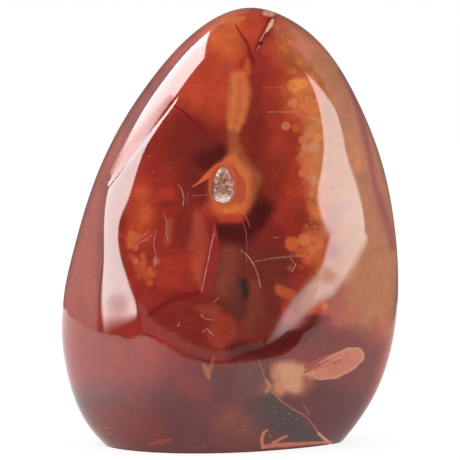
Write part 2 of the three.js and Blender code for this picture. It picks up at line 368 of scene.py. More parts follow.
# Round bubbles of paler chalcedony: place, radius, edge, colour and strength.
BUBBLES = [
    ((297, 86), 6.5, 0.5, "gold", 0.95),
    ((303, 83), 4.5, 0.5, "gold", 0.8),
    ((291, 87), 4.5, 0.6, "amber", 0.7),
    ((301, 95), 5, 0.5, "amber", 0.8),
    ((308, 90), 4.5, 0.5, "honey", 0.6),
    ((293, 103), 4.6, 0.2, "honey", 0.75),
    ((302, 105), 4, 0.4, "amber", 0.7),
    ((309, 100), 4, 0.3, "honey", 0.6),
    ((312, 108), 3.5, 0.4, "amber", 0.6),
    ((286, 126), 4.5, 0.15, "honey", 0.7),
    ((296, 128), 4.2, 0.3, "orange", 0.6),
    ((304, 118), 4, 0.4, "orange", 0.5),
    ((317, 122), 4, 0.4, "honey", 0.7),
    ((311, 133), 5.2, 0.35, "honey", 0.75),
    ((319, 137), 4, 0.4, "gold", 0.6),
    ((303, 140), 4.6, 0.35, "amber", 0.75),
    ((306, 149), 4.6, 0.3, "honey", 0.7),
    ((314, 147), 5.5, 0.3, "peach", 0.7),
    ((300, 159), 4.5, 0.5, "orange", 0.5),
    ((309, 161), 5.5, 0.4, "amber", 0.7),
    ((318, 158), 4.5, 0.5, "honey", 0.6),
    ((305, 171), 4.6, 0.5, "orange", 0.5),
    ((313, 172), 4.6, 0.4, "honey", 0.6),
    ((315, 181), 4.6, 0.4, "peach", 0.6),
    ((303, 184), 5, 0.5, "ember", 0.5),
    ((292, 244), 7.2, 0.2, "orange", 0.8),
    ((304, 240), 6.4, 0.25, "amber", 0.8),
    ((300, 252), 5, 0.4, "orange", 0.6),
    ((307, 259), 5.5, 0.5, "orange", 0.6),
    ((313, 250), 4.5, 0.5, "amber", 0.6),
    ((290, 268), 2.8, 0.6, "ochre", 0.7),
    ((316, 214), 5, 0.5, "amber", 0.6),
    ((321, 228), 4.5, 0.5, "honey", 0.6),
    ((320, 245), 4.5, 0.5, "amber", 0.6),
    ((131, 240), 5, 0.9, "orange", 0.7),
    ((137, 237), 3.5, 0.9, "amber", 0.5),
    ((150, 283), 3, 0.7, "orange", 0.7),
    ((156, 261), 3, 0.9, "peach", 0.4),
    ((283, 48), 2, 0.6, "amber", 0.5),
    ((290, 42), 1.6, 0.6, "peach", 0.5),
    ((303, 62), 5, 0.8, "honey", 0.5),
    ((312, 76), 4, 0.8, "honey", 0.5),
]

# Where the small round cells of paler chalcedony crowd.
CLUSTERS = [
    Stroke("cells, column", [
        (297, 84, 13), (309, 108, 12), (314, 140, 12), (309, 165, 12), (310, 190, 9),
    ], 0.5, "honey", 0.75),
    Stroke("cells, low", [(311, 212, 9), (316, 238, 9), (308, 262, 8)], 0.6, "amber", 0.55),
    Stroke("cells, left", [(128, 232, 8), (136, 256, 8), (147, 276, 8)], 0.6, "amber", 0.5),
    Stroke("cells, shoulder", [(284, 44, 8), (300, 62, 10), (318, 82, 8)], 0.7, "amber", 0.5),
    Stroke("cells, flank", [
        (352, 130, 9), (362, 190, 9), (368, 260, 12), (372, 305, 12),
    ], 0.7, "sand", 0.5),
]

# Worn places, which noise breaks up into brown pits.
PITS = [
    Stroke("worn arc", [
        (318, 192, 0.8), (321, 199, 0.9), (325, 206, 0.9), (330, 214, 0.7),
    ], 0.9, "rust", 0.9),
    Stroke("worn arc, upper", [(324, 186, 2.5), (338, 187, 2.5)], 0.9, "rust", 0.7),
    Stroke("worn arc, right", [(332, 209, 3), (350, 204, 2.5)], 0.9, "rust", 0.7),
    Stroke("pits beside the arc", [(300, 218, 7), (315, 226, 7)], 0.9, "garnet", 0.8),
    Stroke("pits, left highlight", [(112, 297, 2), (114, 308, 2)], 0.9, "garnet", 0.8),
]

# Inclusions and veins by the foot.
FOOT_MARKS = [
    Stroke("dark spot", [(244, 282, 3.2), (245.5, 289, 3.8), (246, 296, 3)], 1, "bottle", 0.95),
    Stroke("dark spot's veil", [(239, 279, 3), (243, 287, 5)], 1, "slate", 0.5),
    Stroke("olive by the lump", [(303, 370, 7), (306, 380, 8), (300, 390, 6)], 0.9, "ochre", 0.75),
    Stroke("lump", [(283, 373, 11), (290, 374, 12), (290, 383, 12.5), (284, 386, 10)], 0.4, "peach", 0.95),
    Stroke("lump's brown side", [(274, 366, 4), (281, 392, 4)], 0.9, "tan", 0.5),
    Stroke("bridge", [(302, 369, 5), (313, 372, 6)], 0.6, "peach", 0.7),
    Stroke("finger's rim", [
        (321, 371, 9), (334, 367, 11.6), (349, 359, 11.3), (356, 356, 8.5),
    ], 0.08, "peach", 0.95),
    Stroke("finger", [
        (321, 371, 7.6), (334, 367, 10.2), (349, 359, 9.9), (356, 356, 7.1),
    ], 0.14, "salmon", 0.9),
    Stroke("finger's pink", [(330, 370, 4), (346, 360, 5)], 0.9, "rose", 0.25),
    Stroke("finger's root", [(307, 367, 3), (316, 363, 3)], 0.7, "crimson", 0.7),
    Stroke("finger's streak", [(305, 367, 1), (317, 360, 1.3), (331, 354.5, 0.6)], 0.9, "crimson", 0.8),
    Stroke("finger's second streak", [
        (305, 372, 1), (318, 366, 1.2), (329, 360.5, 0.5),
    ], 0.9, "crimson", 0.8),
    Stroke("finger's low streak", [(311, 371, 0.6), (325, 366, 0.8), (336, 361.5, 0.4)], 0.9, "brick", 0.7),
    Stroke("finger's upper streak", [
        (310, 364, 0.6), (322, 358, 0.7), (334, 353, 0.4),
    ], 0.9, "brick", 0.7),
    Stroke("finger's third streak", [(333, 364, 1), (342, 359.5, 0.5)], 0.9, "wine", 0.7),
    Stroke("finger's fine streak", [(322, 363, 0.5), (340, 354, 0.5)], 0.6, "brick", 0.8),
    Stroke("vein by the lump", [
        (260, 361, 0.4), (262.5, 371, 0.6), (265, 381, 0.8), (272, 391, 1),
    ], 0.9, "coral", 0.5),
    Stroke("knot in the vein", [(267, 380, 1), (269.5, 386, 2.4), (266.5, 392, 1.6)], 0.7, "peach", 0.55),
    Spot("olive round the knot", (265, 389), 6, 0.95, "ochre", 0.45),
    Stroke("vein", [
        (272, 391, 0.8), (281, 401, 0.8), (293, 409, 0.8), (304, 415, 0.9), (310, 421, 0.9), (317, 431, 1),
    ], 0.9, "coral", 0.65),
    Stroke("plum over the vein", [
        (288, 397, 6), (303, 405, 7), (318, 418, 7), (330, 432, 6),
    ], 0.5, "plum", 0.7),
    Stroke("vein's branch", [(303, 404, 0.5), (309, 414, 0.7)], 0.7, "salmon", 0.5),
    Stroke("vein's thick end", [(318, 433, 1.1), (325, 439, 1.5), (330, 443.5, 1.3)], 0.5, "peach", 0.9),
    Stroke("foot's hook", [
        (267, 430, 1.1), (263.5, 433, 1.5), (261.5, 440, 1.6), (263, 446, 1.8),
    ], 0.35, "coral", 0.95),
    Stroke("vein along the foot", [
        (263, 447, 1.9), (275, 445.5, 2.1), (290, 444.5, 2.1), (306, 443.5, 1.7), (331, 442, 1.1),
    ], 0.4, "coral", 0.9),
    Stroke("foot's branch", [(287, 436, 1), (281, 438.5, 1.3), (273, 443, 1.7)], 0.4, "coral", 0.9),
    Stroke("fleck", [(204, 365, 1.5), (207, 371, 3.4), (209, 378, 1.5)], 0.9, "tan", 0.8),
    Stroke("fleck, upper", [(214, 356, 1), (212.5, 362, 1.8), (210, 369, 1.5)], 0.9, "brick", 0.6),
    Stroke("red streak by the foot", [
        (150, 444.5, 1.2), (160, 442, 2.4), (171, 439.5, 1.4),
    ], 0.7, "scarlet", 0.6),
    Spot("black dot", (68.5, 358), 1.1, 0.4, "bottle", 0.85),
]

# Fine scratches on the polish: name, points and strength. All have one softness.
HAIRLINES = [
    ("long hairline", [
        (214, 234, 0.4), (211, 246, 0.45), (208, 262, 0.45), (204, 280, 0.4),
        (201.5, 292, 0.4),
    ], 0.6),
    ("curved hairline", [
        (241, 250, 0.4), (248, 256, 0.5), (254, 265, 0.5), (258, 275, 0.45),
        (260.5, 287, 0.4),
    ], 0.51),
    ("fine upright line", [(243, 222, 0.3), (246, 232, 0.35), (247, 248, 0.3), (246, 262, 0.3)], 0.26),
    ("level scratch", [(267, 112, 0.45), (297, 112, 0.4)], 0.38),
    ("level scratch, second", [(297, 114, 0.4), (312, 119, 0.4), (323, 121, 0.4)], 0.34),
    ("level scratch, third", [(262, 88, 0.4), (282, 87.5, 0.3)], 0.17),
    ("scratch, left", [(178, 184, 0.35), (182, 190, 0.45), (184, 198, 0.5), (183, 206, 0.3)], 0.51),
    ("scratch, left, second", [(192, 196, 0.35), (208, 194.5, 0.3)], 0.3),
    ("scratch, third", [(188, 192, 0.3), (187, 204, 0.3)], 0.3),
    ("scratch, fourth", [(164, 214, 0.35), (167, 222, 0.5), (166, 235, 0.4), (169, 241, 0.4)], 0.34),
    ("scratch, fifth", [(156, 230, 0.35), (153.5, 243, 0.45), (156, 255, 0.35)], 0.42),
    ("scratch, sixth", [(140, 238, 0.4), (149, 231, 0.4)], 0.42),
    ("scratch, seventh", [(142, 241.5, 0.35), (152, 235, 0.35)], 0.38),
    ("scratch, eighth", [(138, 243.5, 0.35), (149, 239, 0.3)], 0.34),
    ("scratch, ninth", [(155.5, 256, 0.7), (154.5, 266, 0.6)], 0.34),
    ("scratch, low", [(201, 315, 0.5), (205, 319, 0.5), (212, 320, 0.5)], 0.42),
    ("scratch, low, second", [(203, 332, 0.5), (207, 328.5, 0.5)], 0.42),
    ("scratch, low, third", [(208, 330, 0.5), (213, 335, 0.4)], 0.42),
    ("scratch, low, fourth", [(213, 303, 0.3), (219, 297.5, 0.4)], 0.34),
    ("scratch, low, fifth", [(178, 326, 0.8), (179.5, 322, 0.5)], 0.42),
    ("pink line, right", [(252, 262, 0.8), (275, 258, 0.9), (296, 256, 0.8), (307, 256, 0.6)], 0.19),
    ("hook, right", [(292, 250, 0.3), (290.5, 258, 0.4), (295.5, 265, 0.45), (292, 272, 0.45)], 0.42),
    ("short scratch, right", [(274, 237.5, 0.4), (279, 237.5, 0.4)], 0.38),
]

HAIRLINE_EDGE = 0.5

# Pale specks on the polish, all of one size, softness and strength.
SPECKS = [
    (284, 418), (289, 414), (292, 424), (279, 424), (270, 436), (244, 430), (250, 424), (297, 419),
    (275, 412), (233, 424), (168, 168), (170, 170), (157, 180), (149, 156), (153, 172), (196, 440),
    (205, 446), (106, 428), (110, 434), (240, 361), (189, 346), (310, 341),
]
SPECK_RADIUS = 0.55
SPECK_EDGE = 0.5
SPECK_STRENGTH = 0.5

# Places where the polish is hazy. Their strength adds to the roughness, and they have no colour.
HAZE = [
    Stroke("above the crease", [
        (170, 97, 3), (154, 116, 5), (138, 136, 6), (123, 156, 5), (112, 172, 3),
    ], 0.9, "", 0.3, "bare"),
    Spot("dull place, right", (328, 276), 7, 0.9, "", 0.3),
    Spot("dull place, left", (118, 303), 10, 0.9, "", 0.22),
]

PALETTE = {
    "bottle": ((0.022, 0.014, 0.012), "Black specks"),
    "deep": ((0.075, 0.009, 0.009), "Darkest heart of the stone"),
    "slate": ((0.052, 0.029, 0.027), "Slate by the foot"),
    "plum": ((0.112, 0.016, 0.017), "Foot"),
    "dusk": ((0.120, 0.032, 0.027), "Greyish veils"),
    "maroon": ((0.150, 0.018, 0.014), "Dark clouds"),
    "umber": ((0.152, 0.025, 0.018), "Brown middle"),
    "wine": ((0.190, 0.012, 0.014), "Cold dark lines"),
    "garnet": ((0.200, 0.022, 0.015), "Shaded red"),
    "brown": ((0.215, 0.045, 0.027), "Brown clouds"),
    "crimson": ((0.275, 0.024, 0.020), "Cold red wedges and lines"),
    "red": ((0.290, 0.026, 0.018), "Body of the stone"),
    "ember": ((0.330, 0.036, 0.019), "Warm red of the right side"),
    "scarlet": ((0.370, 0.036, 0.021), "Clear red of the left side"),
    "rust": ((0.380, 0.060, 0.032), "Left flank"),
    "flame": ((0.460, 0.055, 0.024), "Orange-red of the upper left"),
    "rose": ((0.460, 0.050, 0.045), "Bright end of a wedge"),
    "brick": ((0.452, 0.074, 0.036), "Brick-red crescent by the pocket"),
    # Orange also paints the top's field, partly painted light shining through the thin top.
    "orange": ((0.570, 0.110, 0.036), "Orange halo and top"),
    "amber": ((0.595, 0.157, 0.051), "Plume over the pocket"),
    "gold": ((0.730, 0.245, 0.055), "Yellow-orange bubbles"),
    "honey": ((0.580, 0.180, 0.070), "Pale bubbles"),
    "ochre": ((0.330, 0.085, 0.030), "Brown rim of the halo"),
    "tan": ((0.385, 0.110, 0.035), "Right flank"),
    "olive": ((0.395, 0.115, 0.024), "Lower right flank"),
    "salmon": ((0.500, 0.145, 0.085), "Finger-shaped inclusion"),
    "peach": ((0.570, 0.250, 0.130), "Rims and veins by the foot"),
    "cream": ((0.700, 0.400, 0.230), "Sliver at the top"),
    # Coral also paints the sheen on the right shoulder, which is a painted reflection.
    "coral": ((0.500, 0.125, 0.065), "Veins along the foot"),
    "sand": ((0.400, 0.135, 0.045), "Under the right highlight"),
    "pale": ((0.700, 0.420, 0.360), "Scratches"),
}


class Grain(NamedTuple):
    """Noise: waves a millimetre, detail, roughness and distortion."""

    frequency: float
    detail: float
    rough: float
    distortion: float = 0.0


class Step(NamedTuple):
    """A step between two limits: what goes in at each, and what comes out there."""

    low: float
    high: float
    at_low: float = 0.0
    at_high: float = 1.0


class Wobble(NamedTuple):
    """Noise that moves marks: waves a millimetre, how far it moves them in millimetres, and its detail."""

    frequency: float
    amount: float
    detail: float


BROAD_WOBBLE = Wobble(0.1, 3.0, 1.0)
FINE_WOBBLE = Wobble(0.4, 0.5, 2.0)

# The stone's general colour, which noise picks, and where the front's marks fade into it, by depth.
BODY_CLOUDS = Grain(0.03, 3.0, 0.55, 0.6)
BODY_COLOURS = [(0.30, "deep"), (0.42, "maroon"), (0.52, "scarlet"), (0.62, "flame"), (0.72, "tan")]
FRONT_FADE = Step(-0.5, 6.5, 1.0, 0.0)

# Shade and fine grain multiply the colours, breaks interrupt the scratches, smears are roughness.
SHADE = (Grain(0.2, 5.0, 0.65), Step(0.3, 0.7, 0.88, 1.12))
FINE_GRAIN = (Grain(0.6, 4.0, 0.7), Step(0.3, 0.7, 0.93, 1.07))
BREAKS = (Grain(1.1, 2.0, 0.6), Step(0.35, 0.6, 0.35, 1.0))
SMEARS = (Grain(0.12, 3.0, 0.6), Step(0.35, 0.75, 0.03, 0.06))
CELL_FREQUENCY = 0.42
CELL_EDGE = Step(0.34, 0.5, 1.0, 0.0)

# Quartz: tint from dusky to fair, with painted shade on the pocket's left and painted white light low down.
QUARTZ_IOR = 1.54
QUARTZ_TINT = Grain(0.9, 3.0, 0.6)
QUARTZ_DUSKY = (0.38, 0.18, 0.13)
QUARTZ_FAIR = (0.66, 0.37, 0.29)
QUARTZ_PAINTED_LIGHT_WHITE = (1.0, 0.93, 0.86)
QUARTZ_BLEND = Step(0.35, 0.65)
QUARTZ_LEFT_PAINTED_SHADE = Step(-4.1, -3.1, 0.55, 1.0)
QUARTZ_BOTTOM_PAINTED_LIGHT = Step(61.0, 64.5, 1.0, 0.0)
QUARTZ_ROUGHNESS = Step(0.3, 0.7, 0.16, 0.3)

WHITE = (1, 1, 1)
BLACK = (0, 0, 0)

# The floor in metres, the lamp over it and the camera's lens.
FLOOR_REACH = 3
FLOOR_COLOUR = (0.25, 0.25, 0.25)
FLOOR_GLOW = 0.8
LAMP_WIDTH = 0.5
LAMP_PLACE = Vector((-0.25, -0.3, 0.8))
LAMP_AIM = Vector((0, 0, 0.05))
SENSOR_WIDTH = 36
CLIP_START = 0.01

# The tent in metres, and how it glows by turn and rise in degrees: a white wall on each side, which
# falls off towards the back, under a dark roof. The right wall starts at a turn that the rise sets.
TENT_RADIUS = 8
TENT_SEGMENTS = 64
TENT_RINGS = 32
LEFT_WALL = Step(-93.0, -89.0, 1.0, 0.0)
LEFT_WALL_GLOW = Step(5.0, 35.0, 1.0, 1.5)
RIGHT_WALL_START = Step(20.0, 45.0, 70.0, 60.0)
RIGHT_WALL_FULL = 77.0
RIGHT_WALL_GLOW = Step(5.0, 35.0, 0.9, 0.75)
WALL_FALL = Step(88.0, 156.0, 1.55, 0.2)
LEAST_GLOW = 0.02
ROOF_EDGE = Step(51.0, 58.0, 1.0, LEAST_GLOW)


class SoftBox(NamedTuple):
    """A soft box as the polish sees it.

    corners are (turn, rise) pairs in degrees: turn 0 is the camera's side and 90 is +X.
    blurs are the softness of the edge after each corner. glow is the brightness at the two rises.
    """

    corners: list
    blurs: list
    glow: tuple
    rises: tuple = (-19, -8)


# One large box on the left, then four that make up the one on the right, and its thin low tail.
SOFT_BOXES = [
    SoftBox(
        [(-55, 48.5), (-132, 50), (-87, -7), (-61, -4.3)],
        [0.8, 1.2, 1.2, 0.8], (11.3, 13.8), (16, 30),
    ),
    SoftBox(
        [(50.3, 36), (76.3, 16.7), (75.8, 1), (54, 1)],
        [2.2, 2.2, 0.5, 1.6], (6.3, 7.9),
    ),
    SoftBox(
        [(54.2, 5), (75.2, 5), (79.5, -4), (79.5, -12), (68, -13.9), (57.3, -9.7), (51.4, -5.8)],
        [0.5, 1.8, 0.5, 0.5, 0.8, 1.0, 1.4], (6.3, 7.9),
    ),
    SoftBox(
        [(72, 4.3), (88.3, -7.9), (89.6, -11.2), (84, -15.5), (68, -13.9)],
        [1.6, 1.5, 1.5, 0.5, 0.5], (6.3, 7.9),
    ),
    SoftBox(
        [(68, -11), (92, -11), (84, -15.5), (79.5, -17.7), (74, -19), (68, -18.9)],
        [0.5, 1.5, 1.2, 1.0, 0.8, 1.4], (6.3, 7.9),
    ),
    SoftBox([(74, -16.2), (74, -19), (61, -19), (39, -16)], [0.6, 0.5, 0.5, 0.4], (4.4, 4.4)),
]
TAIL_FADE = Step(38, 56)


class Stretch(NamedTuple):
    """A stretch of a card's edge.

    It is seen, through places of the drawing where the polish shows it, or it is laid, through places
    of the floor in metres.
    """

    kind: str
    points: list


# The white table, its dark edge and its dim surround, as the polish shows them.
TABLE_TOP = [
    Stretch("seen", [
        (75, 319), (90, 330), (104, 334.5), (120, 336), (140, 335.5), (150, 338), (160, 343.5), (170, 350),
        (180, 355), (190, 359), (200, 361.5), (210, 364), (222, 364.5), (235, 364), (248, 362.5),
        (260, 360.5), (272, 358.5), (283, 356), (291, 351), (298, 345), (303, 335), (315, 327), (335, 326),
        (355, 335),
    ]),
    Stretch("laid", [(0.13, 0.015), (0.2, 0.3), (-0.3, 0.9), (-0.8, 0.8)]),
]
TABLE_EDGE = [
    Stretch("seen", [
        (140, 333), (150, 333.5), (160, 339), (170, 345), (180, 350), (190, 354.5), (200, 358), (212, 361),
        (225, 361), (235, 357), (245, 352.5), (255, 350.5), (263, 347), (271, 343), (279, 338),
        (287, 331.5), (299, 329),
    ]),
    Stretch("laid", [(0.1, -0.04), (0.05, 0.05), (-0.15, 0)]),
]
TABLE_SURROUND = [
    Stretch("seen", [
        (148, 313), (153, 321), (160, 325.5), (170, 332), (180, 336.5), (190, 342), (200, 347.5),
        (210, 350), (222, 351), (232, 350), (240, 346.5), (250, 343.5), (262, 340),
    ]),
    Stretch("laid", [(0.06, -0.06), (0, 0)]),
    Stretch("seen", [(143, 330), (141, 320), (139, 310)]),
    Stretch("laid", [(-2.4, -1.5), (-2.3, -1.9)]),
]
TABLE_TOP_HEIGHT = 0.0003
TABLE_EDGE_HEIGHT = 0.0002
SURROUND_HEIGHT = 0.0001

# Their glow: the table's by the distance from the stone, with more added towards the left.
TABLE_GLOW = Step(0.02, 0.09, 0.85, 1.15)
TABLE_LEFT_GLOW = Step(-0.09, -0.015, 0.75, 0.0)
TABLE_EDGE_GLOW = 0.02
SURROUND_GLOW = 0.52


def colour_property(name):
    """A linear colour property of the palette."""
    colour, words = PALETTE[name]
    return bpy.props.FloatVectorProperty(
        name=name.capitalize(), description=words, subtype="COLOR", size=3, min=0, max=1, default=colour
    )


class CarnelianColours(bpy.types.PropertyGroup):
    """Colours inside the stone, as linear values."""


CarnelianColours.__annotations__ = {name: colour_property(name) for name in PALETTE}


class StoneShape(bpy.types.PropertyGroup):
    """The polished form."""

    belly_height: bpy.props.FloatProperty(
        name="Belly height", description="Height of the form's middle", unit="LENGTH", default=28 * MM
    )
    front_depth: bpy.props.FloatProperty(
        name="Front depth", description="Bulge of the front", unit="LENGTH", default=24 * MM
    )
    front_fullness: bpy.props.FloatProperty(
        name="Front fullness", description="How boxy the front's bulge is", default=3.2
    )
    back_depth: bpy.props.FloatProperty(
        name="Back depth", description="Bulge of the back", unit="LENGTH", default=25 * MM
    )
    back_fullness: bpy.props.FloatProperty(
        name="Back fullness", description="How boxy the back's bulge is", default=2.0
    )
    foot_crispness: bpy.props.FloatProperty(
        name="Foot crispness", description="Sharpness of the foot's ground edge", default=240
    )
    crease_depth: bpy.props.FloatProperty(
        name="Crease depth", description="Depth of the crease ground on the upper left",
        unit="LENGTH", default=0.2 * MM,
    )
    waviness: bpy.props.FloatProperty(
        name="Waviness", description="Height of the hand-polished surface's slow waves",
        unit="LENGTH", default=0.05 * MM,
    )


class PocketShape(bpy.types.PropertyGroup):
    """The egg-shaped pocket and its crystals."""

    centre: bpy.props.FloatVectorProperty(
        name="Centre", description="Middle of the pocket's mouth before the stone is centred",
        subtype="TRANSLATION", unit="LENGTH", default=(-1.8 * MM, -23.25 * MM, 65.8 * MM),
    )
    width: bpy.props.FloatProperty(
        name="Width", description="Width of the mouth", unit="LENGTH", default=5.4 * MM
    )
    height: bpy.props.FloatProperty(
        name="Height", description="Height of the mouth", unit="LENGTH", default=8.9 * MM
    )
    depth: bpy.props.FloatProperty(
        name="Depth", description="Depth behind the polish", unit="LENGTH", default=3.6 * MM
    )
    taper: bpy.props.FloatProperty(
        name="Taper", description="How much narrower the upper end is", default=0.22
    )
    crystals: bpy.props.IntProperty(
        name="Crystals", description="Number of quartz points in the crust", default=330, min=1
    )


class StudioSet(bpy.types.PropertyGroup):
    """Lights and camera."""

    camera_distance: bpy.props.FloatProperty(
        name="Camera distance", description="From the lens to the stone's middle", unit="LENGTH",
        default=EYE_DISTANCE,
    )
    camera_rise: bpy.props.FloatProperty(
        name="Camera rise", description="Angle above level", subtype="ANGLE", default=EYE_RISE
    )
    aim_height: bpy.props.FloatProperty(
        name="Aim height", description="Height that the camera looks at", unit="LENGTH", default=AIM_HEIGHT
    )
    view_width: bpy.props.FloatProperty(
        name="View width", description="Width of the picture at the stone", unit="LENGTH",
        default=DRAWING_WIDTH,
    )
    room_light: bpy.props.FloatProperty(
        name="Room light", description="Brightness of the white surroundings", default=1.0
    )
    key_light: bpy.props.FloatProperty(
        name="Key light", description="Power of the large lamp overhead", unit="POWER", default=0.6
    )


def apart(a, b, count):
    """Evenly spaced numbers from a towards b, without b."""
    return np.linspace(a, b, count, endpoint=False)


def outline_curve():
    """Points of the closed uniform cubic B-spline through the outline's control points, in millimetres."""
    points = np.array(OUTLINE, float)
    t = apart(0, len(points), OUTLINE_STEPS)
    start = np.floor(t).astype(int)
    f = (t - start)[:, None]
    weights = (
        (1 - f) ** 3 / 6,
        (3 * f**3 - 6 * f**2 + 4) / 6,
        (-3 * f**3 + 3 * f**2 + 3 * f + 1) / 6,
        f**3 / 6,
    )
    return sum(w * points[(start + k - 1) % len(points)] for k, w in enumerate(weights))


def rim_reader(belly):
    """A function from an angle about the belly's middle to the outline's distance."""
    curve = outline_curve() - (0, belly)
    angles = np.arctan2(curve[:, 1], curve[:, 0])
    order = np.argsort(angles)
    angles = angles[order]
    radii = np.hypot(curve[:, 0], curve[:, 1])[order]
    angles = np.concatenate(([angles[-1] - 2 * math.pi], angles, [angles[0] + 2 * math.pi]))
    radii = np.concatenate(([radii[-1]], radii, [radii[0]]))
    return lambda angle: np.interp(angle, angles, radii)


def direction(turn, tilt):
    """A unit vector: turn 0 is the front, 90 is +X, tilt is above level, in degrees."""
    a, e = math.radians(turn), math.radians(tilt)
    return np.array((math.sin(a) * math.cos(e), -math.cos(a) * math.cos(e), math.sin(e)))


def soft_least(radius, limit, crispness):
    """The smaller of two distances, rounded where they meet. The limit comes as its inverse."""
    overshoot = radius * np.maximum(0, limit)
    return radius * (1 + overshoot**crispness) ** (-1 / crispness)


def surface(u, shape):
    """Points of the polished form, in millimetres, in unit directions from the belly's middle."""
    belly = shape.belly_height / MM
    rim = rim_reader(belly)(np.arctan2(u[:, 2], u[:, 0]))
    front = u[:, 1] < 0
    depth = np.where(front, shape.front_depth, shape.back_depth) / MM
    fullness = np.where(front, shape.front_fullness, shape.back_fullness)
    side = np.hypot(u[:, 0], u[:, 2]) / rim
    radius = (side**fullness + (np.abs(u[:, 1]) / depth) ** fullness) ** (-1 / fullness)
    for face in FACES:
        radius = soft_least(radius, u @ direction(face.turn, face.tilt) / face.distance, face.crispness)
    points = u * radius[:, None] + (0, 0, belly)
    radius += swells(points) + crease(points, shape)
    radius = soft_least(radius, -u[:, 2] / belly, shape.foot_crispness)
    return u * radius[:, None] + (0, 0, belly)


def swells(points):
    """Height of the hand-polished swells, in millimetres."""
    height = 0
    for s in SWELLS:
        off = ((points[:, 0] - s.x) / s.half_width) ** 2 + ((points[:, 2] - s.z) / s.half_height) ** 2
        height = height + s.rise * np.exp(-off)
    return height * np.clip(-points[:, 1] / SWELL_FADE, 0, 1)


def crease(points, shape):
    """Height of the crease, in millimetres: a slow slope above its line and a short wall below it."""
    line = np.array(CREASE_LOW - CREASE_TOP)
    length = np.linalg.norm(line)
    along = (points - np.array(CREASE_TOP)) @ line / length
    across = np.cross(line / length, (0, -1, 0))
    across /= np.linalg.norm(across)
    off = (points - np.array(CREASE_TOP)) @ across
    depth = np.where(off > 0, np.exp(-np.abs(off) / CREASE_SLOPE), np.exp(-np.abs(off) / CREASE_WALL))
    past = np.maximum(0, np.maximum(-along, along - length))
    near = np.exp(-((past / CREASE_FADE) ** 2)) * (points[:, 1] < 0)
    return -shape.crease_depth / MM * depth * near


def mesh_points(bm):
    """All vertices of a bmesh as an array."""
    return np.array([v.co for v in bm.verts])


def place_on_form(bm, shape):
    """Moves every vertex onto the polished form, along its direction from the belly's middle."""
    belly = shape.belly_height / MM
    offsets = mesh_points(bm) - (0, 0, belly)
    u = offsets / np.linalg.norm(offsets, axis=1)[:, None]
    points = surface(u, shape)
    amount = shape.waviness / MM
    for vertex, point, ray in zip(bm.verts, points, u):
        wave = noise.noise(Vector(point) * WAVE_FREQUENCY) * min(1, point[2] / FOOT_CALM)
        vertex.co = point + ray * wave * amount


def refine(bm, pocket, reach):
    """Divides the edges whose middles lie close to detail, in two."""
    middles = np.array([(e.verts[0].co + e.verts[1].co) / 2 for e in bm.edges])
    picked = near_detail(middles, pocket, reach)
    edges = [e for e, take in zip(bm.edges, picked) if take]
    bmesh.ops.subdivide_edges(bm, edges=edges, cuts=1)
    bmesh.ops.triangulate(bm, faces=[f for f in bm.faces if len(f.verts) > 3])


def near_crease(points, reach):
    """True for points within a reach of the crease's line, in millimetres."""
    line = np.array(CREASE_LOW - CREASE_TOP)
    offsets = points - np.array(CREASE_TOP)
    along = np.clip(offsets @ line / (line @ line), -CREASE_MARGIN, 1 + CREASE_MARGIN)
    return np.linalg.norm(offsets - along[:, None] * line, axis=1) < reach


def near_pocket(points, pocket, reach):
    """True for points within a reach of the pocket's mouth."""
    offsets = points - np.array(pocket.centre) / MM
    halves = np.array((pocket.width, pocket.depth * 2, pocket.height)) / MM / 2 + reach
    return np.linalg.norm(offsets / halves, axis=1) < 1


def near_foot_edge(points, reach):
    """True for points just over the foot's rim."""
    return (points[:, 2] < reach) & (points[:, 2] > FOOT_LEVEL)


def near_detail(points, pocket, reach):
    """True for points that lie close to the crease, the pocket or the foot's edge."""
    return near_crease(points, reach) | near_pocket(points, pocket, reach) | near_foot_edge(points, reach)


def egg_point(ball, pocket, clearance, depth):
    """A point of the unit ball taken to the pocket's egg, in millimetres."""
    half_width = (pocket.width / MM / 2 - clearance) * (1 - pocket.taper * ball.z)
    half_height = pocket.height / MM / 2 - clearance
    middle = Vector(pocket.centre) / MM
    ragged = 1 + EGG_RAGGED * noise.noise(ball * EGG_FREQUENCY)
    return middle + Vector((ball.x * half_width, ball.y * depth, ball.z * half_height)) * ragged


def new_object(name, bm, scale=MM, shift=Vector()):
    """An object at the origin from a bmesh in millimetres, moved by a shift in millimetres."""
    bmesh.ops.translate(bm, verts=bm.verts, vec=shift)
    bmesh.ops.scale(bm, verts=bm.verts, vec=(scale, scale, scale))
    mesh = bpy.data.meshes.new(name)
    bm.to_mesh(mesh)
    bm.free()
    made = bpy.data.objects.new(name, mesh)
    bpy.context.scene.collection.objects.link(made)
    return made


def apply_modifiers(piece):
    """Replaces a piece's mesh by its finished one."""
    graph = bpy.context.evaluated_depsgraph_get()
    finished = bpy.data.meshes.new_from_object(piece.evaluated_get(graph))
    piece.modifiers.clear()
    rough = piece.data
    piece.data = finished
    bpy.data.meshes.remove(rough)


def centre_shift(bm):
    """The move that puts a mesh's middle over the origin, in millimetres."""
    points = mesh_points(bm)
    middle = (points.min(axis=0) + points.max(axis=0)) / 2
    return Vector((-middle[0], -middle[1], 0))


def put(tree, socket, value):
    """Links a socket to a socket, or sets its value."""
    if isinstance(value, bpy.types.NodeSocket):
        tree.links.new(value, socket)
    else:
        socket.default_value = value


def add(tree, kind, inputs=None, output=0, **settings):
    """Adds a node, fills its inputs, and gives back the output asked for."""
    made = tree.nodes.new(kind)
    for name, value in settings.items():
        setattr(made, name, value)
    for key, value in (inputs or {}).items():
        put(tree, made.inputs[key], value)
    return made.outputs[output]


def calculate(tree, operation, *values):
    """A Math node."""
    return add(tree, "ShaderNodeMath", dict(enumerate(values)), operation=operation)


def vector_calculate(tree, operation, *values, output=0):
    """A Vector Math node."""
    return add(tree, "ShaderNodeVectorMath", dict(enumerate(values)), output, operation=operation)


